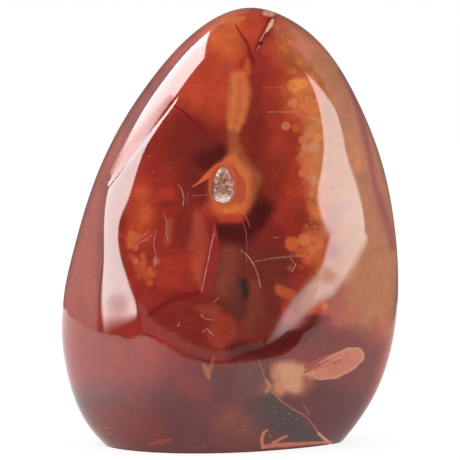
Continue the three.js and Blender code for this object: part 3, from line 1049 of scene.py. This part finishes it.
def blend_colour(tree, factor, below, above, kind="MIX"):
    """A Mix node for colours."""
    made = tree.nodes.new("ShaderNodeMix")
    made.data_type = "RGBA"
    made.blend_type = kind
    put(tree, made.inputs[0], factor)
    put(tree, made.inputs[6], below)
    put(tree, made.inputs[7], above)
    return made.outputs[2]


def range_mask(tree, value, low, high, to_low=0.0, to_high=1.0):
    """A smooth step of a value between two limits."""
    inputs = {0: value, 1: low, 2: high, 3: to_low, 4: to_high}
    return add(tree, "ShaderNodeMapRange", inputs, interpolation_type="SMOOTHSTEP", clamp=False)


def noise_value(tree, point, scale, detail=2.0, rough=0.5, distortion=0.0, output=0):
    """A Noise Texture."""
    inputs = {
        "Vector": point, "Scale": scale, "Detail": detail, "Roughness": rough, "Distortion": distortion,
    }
    return add(tree, "ShaderNodeTexNoise", inputs, output)


def mottle(tree, point, grain, step):
    """Noise through a smooth step."""
    return range_mask(tree, noise_value(tree, point, *grain), *step)


def new_group(name, inputs, outputs):
    """An empty node group with named inputs and outputs, given as name to socket type."""
    group = bpy.data.node_groups.new(name, "ShaderNodeTree")
    for label, kind in inputs.items():
        group.interface.new_socket(name=label, in_out="INPUT", socket_type="NodeSocket" + kind)
    for label, kind in outputs.items():
        group.interface.new_socket(name=label, in_out="OUTPUT", socket_type="NodeSocket" + kind)
    return group, group.nodes.new("NodeGroupInput").outputs, group.nodes.new("NodeGroupOutput").inputs


def drawing_eye():
    """The eye of the drawing, in metres, the way back to it and the way to its right."""
    back = Vector((0, -math.cos(EYE_RISE), math.sin(EYE_RISE)))
    return Vector((0, 0, AIM_HEIGHT)) + back * EYE_DISTANCE, back, Vector((1, 0, 0))


def drawing_group():
    """Takes a point in millimetres to its place in the drawing of the front, in pixels."""
    outputs = {"X": "Float", "Y": "Float"}
    group, given, result = new_group("Front drawing", {"Point": "Vector"}, outputs)
    eye, back, right = drawing_eye()
    pixels = DRAWING_SIZE / DRAWING_WIDTH * EYE_DISTANCE
    ray = vector_calculate(group, "SUBTRACT", given["Point"], eye / MM)
    away = vector_calculate(group, "DOT_PRODUCT", ray, -back, output=1)
    for label, axis in (("X", right), ("Y", right.cross(back))):
        aside = vector_calculate(group, "DOT_PRODUCT", ray, axis * pixels, output=1)
        place = calculate(group, "ADD", calculate(group, "DIVIDE", aside, away), DRAWING_SIZE / 2)
        group.links.new(place, result[label])
    return group


# The groups that measure marks use plain numbers only: a vector socket costs the renderer far more.
def straight_line(tree, x, y, slope_x, slope_y, start):
    """start + slope_x * x + slope_y * y."""
    return calculate(tree, "MULTIPLY_ADD", x, slope_x, calculate(tree, "MULTIPLY_ADD", y, slope_y, start))


def length_of(tree, x, y):
    """The length of (x, y)."""
    square = calculate(tree, "MULTIPLY_ADD", y, y, calculate(tree, "MULTIPLY", x, x))
    return calculate(tree, "SQRT", square)


def ellipse_group():
    """Distance from the middle of an ellipse, as a share of its reach."""
    names = ("X", "Y", "Across X", "Across Y", "Across", "Along X", "Along Y", "Along")
    group, given, result = new_group("Ellipse", dict.fromkeys(names, "Float"), {"Share": "Float"})
    across = straight_line(group, given["X"], given["Y"], *(given[name] for name in names[2:5]))
    along = straight_line(group, given["X"], given["Y"], *(given[name] for name in names[5:]))
    group.links.new(length_of(group, across, along), result["Share"])
    return group


def segment_group():
    """Distance from a segment of a stroke, as a share of the stroke's radius there."""
    names = (
        "X", "Y", "Pace X", "Pace Y", "Lead", "Start X", "Start Y", "Back X", "Back Y", "Radius", "Growth",
    )
    group, given, result = new_group("Stroke segment", dict.fromkeys(names, "Float"), {"Share": "Float"})
    slopes = (given[name] for name in ("Pace X", "Pace Y", "Lead"))
    part = straight_line(group, given["X"], given["Y"], *slopes)
    part = calculate(group, "MAXIMUM", calculate(group, "MINIMUM", part, 1.0), 0.0)
    away = [
        calculate(
            group, "MULTIPLY_ADD", part, given["Back " + axis],
            calculate(group, "SUBTRACT", given[axis], given["Start " + axis]),
        )
        for axis in "XY"
    ]
    radius = calculate(group, "MULTIPLY_ADD", part, given["Growth"], given["Radius"])
    group.links.new(calculate(group, "DIVIDE", length_of(group, *away), radius), result["Share"])
    return group


def wobble_group():
    """A point in millimetres, moved by noise of one size and reach."""
    inputs = {"Point": "Vector", "Frequency": "Float", "Amount": "Float", "Detail": "Float"}
    group, given, result = new_group("Wobble", inputs, {"Point": "Vector"})
    clouds = noise_value(group, given["Point"], given["Frequency"], given["Detail"], output=1)
    centred = vector_calculate(group, "SUBTRACT", clouds, (0.5, 0.5, 0.5))
    push = add(group, "ShaderNodeVectorMath", {0: centred, "Scale": given["Amount"]}, operation="SCALE")
    group.links.new(vector_calculate(group, "ADD", given["Point"], push), result["Point"])
    return group


def millimetres(tree):
    """The piece's own coordinates in millimetres."""
    place = add(tree, "ShaderNodeTexCoord", output=3)
    return add(tree, "ShaderNodeVectorMath", {0: place, "Scale": 1 / MM}, operation="SCALE")


def group_node(tree, group, inputs):
    """A group node with its inputs filled; gives its first output."""
    made = tree.nodes.new("ShaderNodeGroup")
    made.node_tree = group
    for key, value in inputs.items():
        put(tree, made.inputs[key], value)
    return made.outputs[0]


class Brush(NamedTuple):
    """What marks are laid with: the groups that measure them, and x and y in the drawing by wobble."""

    ellipse: bpy.types.NodeTree
    segment: bpy.types.NodeTree
    places: dict


def ellipse_share(tree, brush, patch):
    """Distance from a patch's middle."""
    x, y = brush.places[patch.wobble]
    turn = math.radians(patch.turn)
    across = Vector((math.cos(turn), math.sin(turn))) / patch.reach[0]
    along = Vector((-math.sin(turn), math.cos(turn))) / patch.reach[1]
    centre = Vector(patch.centre)
    return group_node(tree, brush.ellipse, {
        "X": x, "Y": y,
        "Across X": across.x, "Across Y": across.y, "Across": -across.dot(centre),
        "Along X": along.x, "Along Y": along.y, "Along": -along.dot(centre),
    })


def segment_share(tree, brush, place, start, end):
    """Distance from one segment of a stroke."""
    origin = Vector(start[:2])
    span = Vector(end[:2]) - origin
    pace = span / span.length_squared
    return group_node(tree, brush.segment, {
        "X": place[0], "Y": place[1],
        "Pace X": pace.x, "Pace Y": pace.y, "Lead": -origin.dot(pace),
        "Start X": origin.x, "Start Y": origin.y, "Back X": -span.x, "Back Y": -span.y,
        "Radius": start[2], "Growth": end[2] - start[2],
    })


def stroke_share(tree, brush, stroke):
    """Distance from the nearest segment of a stroke."""
    place = brush.places[stroke.wobble]
    least = None
    for start, end in zip(stroke.points, stroke.points[1:]):
        share = segment_share(tree, brush, place, start, end)
        least = share if least is None else calculate(tree, "MINIMUM", least, share)
    return least


def spot_share(tree, brush, spot):
    """Distance from a spot's middle."""
    offsets = [
        calculate(tree, "SUBTRACT", place, middle)
        for place, middle in zip(brush.places[spot.wobble], spot.centre)
    ]
    return calculate(tree, "DIVIDE", length_of(tree, *offsets), spot.radius)


SHARES = {Patch: ellipse_share, Stroke: stroke_share, Spot: spot_share}


def mark_mask(tree, brush, mark):
    """The mask of one mark, as strong as the mark."""
    share = SHARES[type(mark)](tree, brush, mark)
    return range_mask(tree, share, 1 - mark.edge, 1 + mark.edge, mark.strength, 0.0)


def grey(tree, value):
    """A colour of one value, for a multiplying mix."""
    return add(tree, "ShaderNodeCombineColor", dict.fromkeys(range(3), value))


def rgba(colour, alpha=1.0):
    """A colour with its alpha."""
    return (*colour, alpha)


def paint(tree, brush, name, marks, colours, below):
    """Lays marks over a colour, in order, in a group of their own."""
    labels = {(wobble, axis): wobble + " " + axis for wobble in brush.places for axis in "XY"}
    inputs = {"Colour": "Color", **dict.fromkeys(labels.values(), "Float")}
    group, given, result = new_group(name, inputs, {"Colour": "Color"})
    places = {wobble: (given[labels[wobble, "X"]], given[labels[wobble, "Y"]]) for wobble in brush.places}
    inside = brush._replace(places=places)
    colour = given["Colour"]
    for mark in marks:
        mask = mark_mask(group, inside, mark)
        colour = blend_colour(group, mask, colour, rgba(getattr(colours, mark.colour)))
    group.links.new(colour, result["Colour"])
    values = {"Colour": below}
    for (wobble, axis), label in labels.items():
        values[label] = brush.places[wobble]["XY".index(axis)]
    return group_node(tree, group, values)


def new_material(name):
    """A node material, its tree and its Principled shader."""
    material = bpy.data.materials.new(name)
    material.use_nodes = True
    return material, material.node_tree, material.node_tree.nodes["Principled BSDF"]


def body_colour(tree, point, colours):
    """The stone's general colour, which shows on the back and sides: clouds of colour picked by noise."""
    clouds = noise_value(tree, point, *BODY_CLOUDS)
    ramp = tree.nodes.new("ShaderNodeValToRGB")
    stops = ramp.color_ramp.elements
    for stop, (position, name) in zip(stops, (BODY_COLOURS[0], BODY_COLOURS[-1])):
        stop.position = position
        stop.color = rgba(getattr(colours, name))
    for position, name in BODY_COLOURS[1:-1]:
        stops.new(position).color = rgba(getattr(colours, name))
    tree.links.new(clouds, ramp.inputs[0])
    return ramp.outputs[0]


def cell_mask(tree, point):
    """Round cells, packed at random."""
    inputs = {"Vector": point, "Scale": CELL_FREQUENCY}
    away = add(tree, "ShaderNodeTexVoronoi", inputs)
    return range_mask(tree, away, *CELL_EDGE)


def wobbled(tree, group, point, wobble):
    """A point moved by a wobble."""
    return group_node(tree, group, {
        "Point": point, "Frequency": wobble.frequency, "Amount": wobble.amount, "Detail": wobble.detail,
    })


def drawing_place(tree, group, point):
    """x and y in the drawing of a point in millimetres."""
    made = tree.nodes.new("ShaderNodeGroup")
    made.node_tree = group
    put(tree, made.inputs["Point"], point)
    return made.outputs["X"], made.outputs["Y"]


def carnelian_material(colours):
    """Polished carnelian: fields, clouds, plumes and bubbles of colour under a glassy polish."""
    material, tree, shader = new_material("polished carnelian")
    point = millimetres(tree)
    wobble = wobble_group()
    broad = wobbled(tree, wobble, point, BROAD_WOBBLE)
    points = {
        "bare": point,
        "broad": wobbled(tree, wobble, broad, FINE_WOBBLE),
        "fine": wobbled(tree, wobble, point, FINE_WOBBLE),
    }
    drawing = drawing_group()
    places = {name: drawing_place(tree, drawing, moved) for name, moved in points.items()}
    brush = Brush(ellipse_group(), segment_group(), places)
    body = body_colour(tree, broad, colours)
    colour = paint(tree, brush, "Fields", FIELDS, colours, body)
    colour = paint(tree, brush, "Clouds", CLOUDS, colours, colour)
    shade = mottle(tree, points["broad"], *SHADE)
    colour = blend_colour(tree, 1.0, colour, grey(tree, shade), "MULTIPLY")
    clustered = paint(tree, brush, "Clusters", CLUSTERS, colours, colour)
    colour = blend_colour(tree, cell_mask(tree, points["fine"]), colour, clustered)
    bubbles = [Spot("bubble", *row) for row in BUBBLES]
    for name, marks in (("Plumes", PLUMES), ("Bubbles", bubbles), ("Foot marks", FOOT_MARKS)):
        colour = paint(tree, brush, name, marks, colours, colour)
    grain = mottle(tree, points["fine"], *FINE_GRAIN)
    colour = blend_colour(tree, 1.0, colour, grey(tree, grain), "MULTIPLY")
    scratches = [
        Stroke(name, line, HAIRLINE_EDGE, "pale", strength, "bare") for name, line, strength in HAIRLINES
    ]
    specks = [
        Spot("speck", centre, SPECK_RADIUS, SPECK_EDGE, "pale", SPECK_STRENGTH, "bare") for centre in SPECKS
    ]
    scratched = paint(tree, brush, "Scratches", PITS + scratches, colours, colour)
    scratched = paint(tree, brush, "Specks", specks, colours, scratched)
    colour = blend_colour(tree, mottle(tree, point, *BREAKS), colour, scratched)
    parts = tree.nodes.new("ShaderNodeSeparateXYZ")
    tree.links.new(broad, parts.inputs[0])
    front = range_mask(tree, parts.outputs[1], *FRONT_FADE)
    tree.links.new(blend_colour(tree, front, body, colour), shader.inputs["Base Color"])
    shader.inputs["IOR"].default_value = QUARTZ_IOR
    roughness = mottle(tree, point, *SMEARS)
    for mark in HAZE:
        roughness = calculate(tree, "ADD", roughness, mark_mask(tree, brush, mark))
    tree.links.new(roughness, shader.inputs["Roughness"])
    return material


def quartz_material():
    """Drusy quartz: pinkish grey crystals, painted shade on the left and painted light low in the pocket.
    """
    material, tree, shader = new_material("drusy quartz")
    point = millimetres(tree)
    tint = noise_value(tree, point, *QUARTZ_TINT)
    blend = range_mask(tree, tint, *QUARTZ_BLEND)
    colour = blend_colour(tree, blend, rgba(QUARTZ_DUSKY), rgba(QUARTZ_FAIR))
    parts = tree.nodes.new("ShaderNodeSeparateXYZ")
    tree.links.new(point, parts.inputs[0])
    # Painted shade: the crystals on the pocket's left are darkened.
    left = range_mask(tree, parts.outputs[0], *QUARTZ_LEFT_PAINTED_SHADE)
    colour = blend_colour(tree, 1.0, colour, grey(tree, left), "MULTIPLY")
    # Painted light: the crystals low in the pocket are whitened.
    painted_light_mask = range_mask(tree, parts.outputs[2], *QUARTZ_BOTTOM_PAINTED_LIGHT)
    colour = blend_colour(tree, painted_light_mask, colour, rgba(QUARTZ_PAINTED_LIGHT_WHITE))
    tree.links.new(colour, shader.inputs["Base Color"])
    shader.inputs["IOR"].default_value = QUARTZ_IOR
    tree.links.new(range_mask(tree, tint, *QUARTZ_ROUGHNESS), shader.inputs["Roughness"])
    return material


class CARNELIAN_OT_stone(bpy.types.Operator):
    """Make the polished stone with its ground foot and its open pocket"""

    bl_idname = "carnelian.stone"
    bl_label = "Polished stone"

    def execute(self, context):
        shape = context.scene.carnelian_shape
        pocket = context.scene.carnelian_pocket
        bm = bmesh.new()
        bmesh.ops.create_icosphere(bm, subdivisions=BALL_DIVISIONS, radius=1)
        bmesh.ops.scale(bm, verts=bm.verts, vec=DIRECTION_STRETCH)
        bmesh.ops.translate(bm, verts=bm.verts, vec=(0, 0, shape.belly_height / MM))
        place_on_form(bm, shape)
        for reach in REFINE_REACHES:
            refine(bm, pocket, reach)
            place_on_form(bm, shape)
        shift = centre_shift(bm)
        context.scene["stone_shift"] = shift
        stone = new_object("polished_stone", bm, shift=shift)
        cutter = new_object("pocket_cutter", pocket_egg(pocket, 0, pocket.depth / MM), shift=shift)
        cut = stone.modifiers.new("pocket", "BOOLEAN")
        cut.operation = "DIFFERENCE"
        cut.object = cutter
        cut.solver = "EXACT"
        apply_modifiers(stone)
        bpy.data.objects.remove(cutter)
        stone.data.shade_smooth()
        stone.data.set_sharp_from_angle(angle=SHARP_ANGLE)
        stone.data.materials.clear()
        stone.data.materials.append(carnelian_material(context.scene.carnelian_colours))
        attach(stone, "root")
        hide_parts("stone")
        return {"FINISHED"}


def pocket_egg(pocket, clearance, depth):
    """The pocket's hollow as a closed bmesh, in millimetres."""
    bm = bmesh.new()
    bmesh.ops.create_icosphere(bm, subdivisions=EGG_DIVISIONS, radius=1)
    for vertex in bm.verts:
        vertex.co = egg_point(vertex.co.copy(), pocket, clearance, depth)
    return bm


def crust_lining(pocket):
    """The closed bowl that the crystals stand on."""
    bm = pocket_egg(pocket, CRUST_CLEARANCE, pocket.depth / MM - CRUST_CLEARANCE)
    front = Vector(pocket.centre) / MM + Vector((0, CRUST_RECESS, 0))
    parts = bm.verts[:] + bm.edges[:] + bm.faces[:]
    bmesh.ops.bisect_plane(bm, geom=parts, plane_co=front, plane_no=(0, -1, 0), clear_outer=True)
    bmesh.ops.recalc_face_normals(bm, faces=bm.faces)
    bmesh.ops.solidify(bm, geom=bm.faces[:], thickness=CRUST_WALL)
    return bm


def add_crystal(bm, foot, inward, radius, length, spin):
    """One six-sided quartz point."""
    turn = Vector((0, 0, 1)).rotation_difference(inward).to_matrix().to_4x4()
    place = Matrix.Translation(foot) @ turn @ Matrix.Rotation(spin, 4, "Z")
    made = bmesh.ops.create_cone(
        bm, cap_ends=True, segments=CRYSTAL_SIDES, radius1=radius, radius2=radius, depth=length,
        matrix=place,
    )
    top = max(
        {f for v in made["verts"] for f in v.link_faces},
        key=lambda f: (f.calc_center_median() - foot).dot(inward),
    )
    bmesh.ops.poke(bm, faces=[top], offset=radius * CRYSTAL_TIP)


class CARNELIAN_OT_crust(bpy.types.Operator):
    """Make the crust of small quartz crystals in the pocket"""

    bl_idname = "carnelian.crust"
    bl_label = "Quartz crust"

    def execute(self, context):
        pocket = context.scene.carnelian_pocket
        bm = crust_lining(pocket)
        noise.seed_set(CRYSTAL_SEED)
        low, high = CRYSTAL_RADII
        for k in range(pocket.crystals):
            spread = math.sqrt((k + 0.5) / pocket.crystals)
            angle = k * GOLDEN_ANGLE
            ball = Vector((spread * math.cos(angle), math.sqrt(1 - spread**2), spread * math.sin(angle)))
            foot = egg_point(ball, pocket, CRUST_CLEARANCE + CRUST_WALL * CRYSTAL_ROOT, BOWL_DEPTH)
            if foot.y < pocket.centre[1] / MM + CRUST_RECESS:
                continue
            wild = noise.random_unit_vector()
            inward = (Vector((-ball.x, -CRYSTAL_FACING, -ball.z)) + wild * CRYSTAL_LEAN).normalized()
            radius = low + (high - low) * noise.random() ** CRYSTAL_RARITY
            length = radius * (CRYSTAL_LENGTH + noise.random())
            add_crystal(bm, foot, inward, radius, length, noise.random() * math.pi)
        crust = new_object("quartz_crystals", bm, shift=Vector(context.scene["stone_shift"]))
        crust.data.materials.append(quartz_material())
        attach(crust, "root")
        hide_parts("quartz_crust")
        return {"FINISHED"}


def glowing_material(name, glow):
    """A plain white glow, of a strength that is a number or made by a function from the node tree."""
    material, tree, shader = new_material(name)
    shader.inputs["Base Color"].default_value = rgba(BLACK)
    shader.inputs["Specular IOR Level"].default_value = 0
    shader.inputs["Emission Color"].default_value = rgba(WHITE)
    put(tree, shader.inputs["Emission Strength"], glow(tree) if callable(glow) else glow)
    material.cycles.emission_sampling = "NONE"
    return material


def only_in_polish(card):
    """Lets a card show only as a reflection."""
    card.visible_camera = False
    card.visible_diffuse = False
    card.visible_transmission = False
    card.visible_shadow = False


def shown_place(stone, x, y):
    """The place of the floor, in metres, that the polish shows at a place of the drawing."""
    eye, back, right = drawing_eye()
    aside = right * (x - DRAWING_SIZE / 2) + right.cross(back) * (y - DRAWING_SIZE / 2)
    ray = (aside * DRAWING_WIDTH / DRAWING_SIZE / EYE_DISTANCE - back).normalized()
    place, _, face = stone.ray_cast(eye, ray, depsgraph=bpy.context.evaluated_depsgraph_get())[1:]
    corners = [stone.data.vertices[k] for k in stone.data.polygons[face].vertices]
    weights = poly_3d_calc([corner.co for corner in corners], place)
    normal = sum((corner.normal * weight for corner, weight in zip(corners, weights)), Vector())
    away = ray.reflect(normal.normalized())
    if away.z >= 0:
        raise ValueError(f"the polish shows no floor at {x}, {y}")
    return (place - away * (place.z / away.z)).xy


def flat_card(name, stretches, height, stone):
    """A level card, from the stretches of its edge."""
    bm = bmesh.new()
    for stretch in stretches:
        for x, y in stretch.points:
            place = shown_place(stone, x, y) if stretch.kind == "seen" else (x, y)
            bm.verts.new((*place, height))
    bm.faces.new(bm.verts)
    bmesh.ops.recalc_face_normals(bm, faces=bm.faces)
    return new_object(name, bm, scale=1)


def direction_edge(start, end, middle):
    """The inward normal of the plane through the eye and two directions."""
    normal = Vector(np.cross(direction(*start), direction(*end))).normalized()
    return normal if normal.dot(Vector(direction(*middle))) > 0 else -normal


def soft_box_mask(tree, gaze, rise, box):
    """The brightness of one soft box in the direction of gaze."""
    middle = np.mean(box.corners, axis=0)
    mask = range_mask(tree, rise, *box.rises, *box.glow)
    for start, end, blur in zip(box.corners, box.corners[1:] + box.corners[:1], box.blurs):
        inside = vector_calculate(tree, "DOT_PRODUCT", gaze, direction_edge(start, end, middle), output=1)
        reach = math.sin(math.radians(blur))
        mask = calculate(tree, "MULTIPLY", mask, range_mask(tree, inside, -reach, reach))
    return mask


def tent_strength(tree):
    """Brightness of the studio round the stone: dark by the camera, white walls, two soft boxes."""
    place = add(tree, "ShaderNodeTexCoord", output=3)
    gaze = vector_calculate(tree, "NORMALIZE", place)
    parts = tree.nodes.new("ShaderNodeSeparateXYZ")
    tree.links.new(gaze, parts.inputs[0])
    x, y, z = parts.outputs
    turn = calculate(tree, "DEGREES", calculate(tree, "ARCTAN2", x, calculate(tree, "MULTIPLY", y, -1.0)))
    rise = calculate(tree, "DEGREES", calculate(tree, "ARCSINE", z))
    aside = calculate(tree, "ABSOLUTE", turn)
    left = range_mask(tree, turn, *LEFT_WALL)
    left = calculate(tree, "MULTIPLY", left, range_mask(tree, rise, *LEFT_WALL_GLOW))
    start = range_mask(tree, rise, *RIGHT_WALL_START)
    right = range_mask(tree, turn, start, RIGHT_WALL_FULL)
    right = calculate(tree, "MULTIPLY", right, range_mask(tree, rise, *RIGHT_WALL_GLOW))
    fall = add(tree, "ShaderNodeMapRange", dict(enumerate((aside, *WALL_FALL))))
    walls = calculate(tree, "MULTIPLY", calculate(tree, "MAXIMUM", left, right), fall)
    total = calculate(tree, "MULTIPLY", walls, range_mask(tree, rise, *ROOF_EDGE))
    total = calculate(tree, "MAXIMUM", total, LEAST_GLOW)
    masks = [soft_box_mask(tree, gaze, rise, box) for box in SOFT_BOXES]
    masks[-1] = calculate(tree, "MULTIPLY", masks[-1], range_mask(tree, turn, *TAIL_FADE))
    for mask in masks:
        total = calculate(tree, "MAXIMUM", total, mask)
    return total


def table_glow(tree):
    """Brightness of the table in the polish: more towards the left soft box, less by the stone."""
    place = add(tree, "ShaderNodeTexCoord", output=3)
    away = vector_calculate(tree, "LENGTH", place, output=1)
    parts = tree.nodes.new("ShaderNodeSeparateXYZ")
    tree.links.new(place, parts.inputs[0])
    near = range_mask(tree, away, *TABLE_GLOW)
    left = range_mask(tree, parts.outputs[0], *TABLE_LEFT_GLOW)
    return calculate(tree, "ADD", near, left)


class CARNELIAN_OT_stage(bpy.types.Operator):
    """Make the pale floor, the white tent with its soft boxes, the lamp and the camera"""

    bl_idname = "carnelian.stage"
    bl_label = "Studio"

    def execute(self, context):
        studio = context.scene.carnelian_studio
        self.make_floor()
        self.make_reflections(context.scene.objects["polished_stone"])
        self.light_room(context, studio)
        self.place_camera(context, studio)
        context.scene.view_settings.view_transform = "Standard"
        return {"FINISHED"}

    def make_floor(self):
        bm = bmesh.new()
        bmesh.ops.create_grid(bm, x_segments=1, y_segments=1, size=FLOOR_REACH)
        floor = new_object("floor", bm, scale=1)
        material, _, shader = new_material("lit white floor")
        shader.inputs["Base Color"].default_value = rgba(FLOOR_COLOUR)
        shader.inputs["Specular IOR Level"].default_value = 0
        shader.inputs["Roughness"].default_value = 1
        shader.inputs["Emission Color"].default_value = rgba(WHITE)
        shader.inputs["Emission Strength"].default_value = FLOOR_GLOW
        floor.data.materials.append(material)
        floor.visible_glossy = False

    def make_reflections(self, stone):
        bm = bmesh.new()
        bmesh.ops.create_uvsphere(bm, u_segments=TENT_SEGMENTS, v_segments=TENT_RINGS, radius=TENT_RADIUS)
        shown = (
            (new_object("tent", bm, scale=1), tent_strength),
            (flat_card("table_top", TABLE_TOP, TABLE_TOP_HEIGHT, stone), table_glow),
            (flat_card("table_edge", TABLE_EDGE, TABLE_EDGE_HEIGHT, stone), TABLE_EDGE_GLOW),
            (flat_card("table_surround", TABLE_SURROUND, SURROUND_HEIGHT, stone), SURROUND_GLOW),
        )
        for card, glow in shown:
            card.data.materials.append(glowing_material(card.name.replace("_", " "), glow))
            only_in_polish(card)

    def light_room(self, context, studio):
        world = bpy.data.worlds.new("white room")
        world.use_nodes = True
        world.node_tree.nodes["Background"].inputs[0].default_value = rgba(WHITE)
        world.node_tree.nodes["Background"].inputs[1].default_value = studio.room_light
        context.scene.world = world
        lamp = bpy.data.lights.new("overhead lamp", "AREA")
        lamp.shape = "DISK"
        lamp.size = LAMP_WIDTH
        lamp.energy = studio.key_light
        key = bpy.data.objects.new("overhead lamp", lamp)
        key.location = LAMP_PLACE
        key.rotation_euler = (LAMP_AIM - LAMP_PLACE).to_track_quat("-Z", "Y").to_euler()
        key.visible_glossy = False
        context.scene.collection.objects.link(key)

    def place_camera(self, context, studio):
        camera = bpy.data.cameras.new("camera")
        holder = bpy.data.objects.new("camera", camera)
        aim = Vector((0, 0, studio.aim_height))
        rise = studio.camera_rise
        back = Vector((0, -math.cos(rise), math.sin(rise)))
        holder.location = aim + back * studio.camera_distance
        holder.rotation_euler = (-back).to_track_quat("-Z", "Y").to_euler()
        camera.sensor_width = SENSOR_WIDTH
        camera.lens = SENSOR_WIDTH * studio.camera_distance / studio.view_width
        camera.clip_start = CLIP_START
        context.scene.collection.objects.link(holder)
        context.scene.camera = holder


class CARNELIAN_PT_panel(bpy.types.Panel):
    """Sizes, colours and the makers of the stone and its studio"""

    bl_label = "Carnelian free form"
    bl_idname = "CARNELIAN_PT_panel"
    bl_space_type = "VIEW_3D"
    bl_region_type = "UI"
    bl_category = "Carnelian"

    def draw(self, context):
        for maker in (CARNELIAN_OT_stone, CARNELIAN_OT_crust, CARNELIAN_OT_stage):
            self.layout.operator(maker.bl_idname)
        for name in SETTINGS:
            group = getattr(context.scene, name)
            box = self.layout.box()
            for label in group.__annotations__:
                box.prop(group, label)


SETTINGS = {
    "carnelian_shape": StoneShape,
    "carnelian_pocket": PocketShape,
    "carnelian_colours": CarnelianColours,
    "carnelian_studio": StudioSet,
}
CLASSES = (
    *SETTINGS.values(), CARNELIAN_OT_stone, CARNELIAN_OT_crust, CARNELIAN_OT_stage, CARNELIAN_PT_panel,
)


def register():
    for made in CLASSES:
        bpy.utils.register_class(made)
    for name, group in SETTINGS.items():
        setattr(bpy.types.Scene, name, bpy.props.PointerProperty(type=group))


def unregister():
    for name in SETTINGS:
        delattr(bpy.types.Scene, name)
    for made in reversed(CLASSES):
        bpy.utils.unregister_class(made)


def main():
    register()
    bpy.ops.carnelian.stone()
    bpy.ops.carnelian.crust()
    bpy.ops.carnelian.stage()


if __name__ == "__main__":
    main()
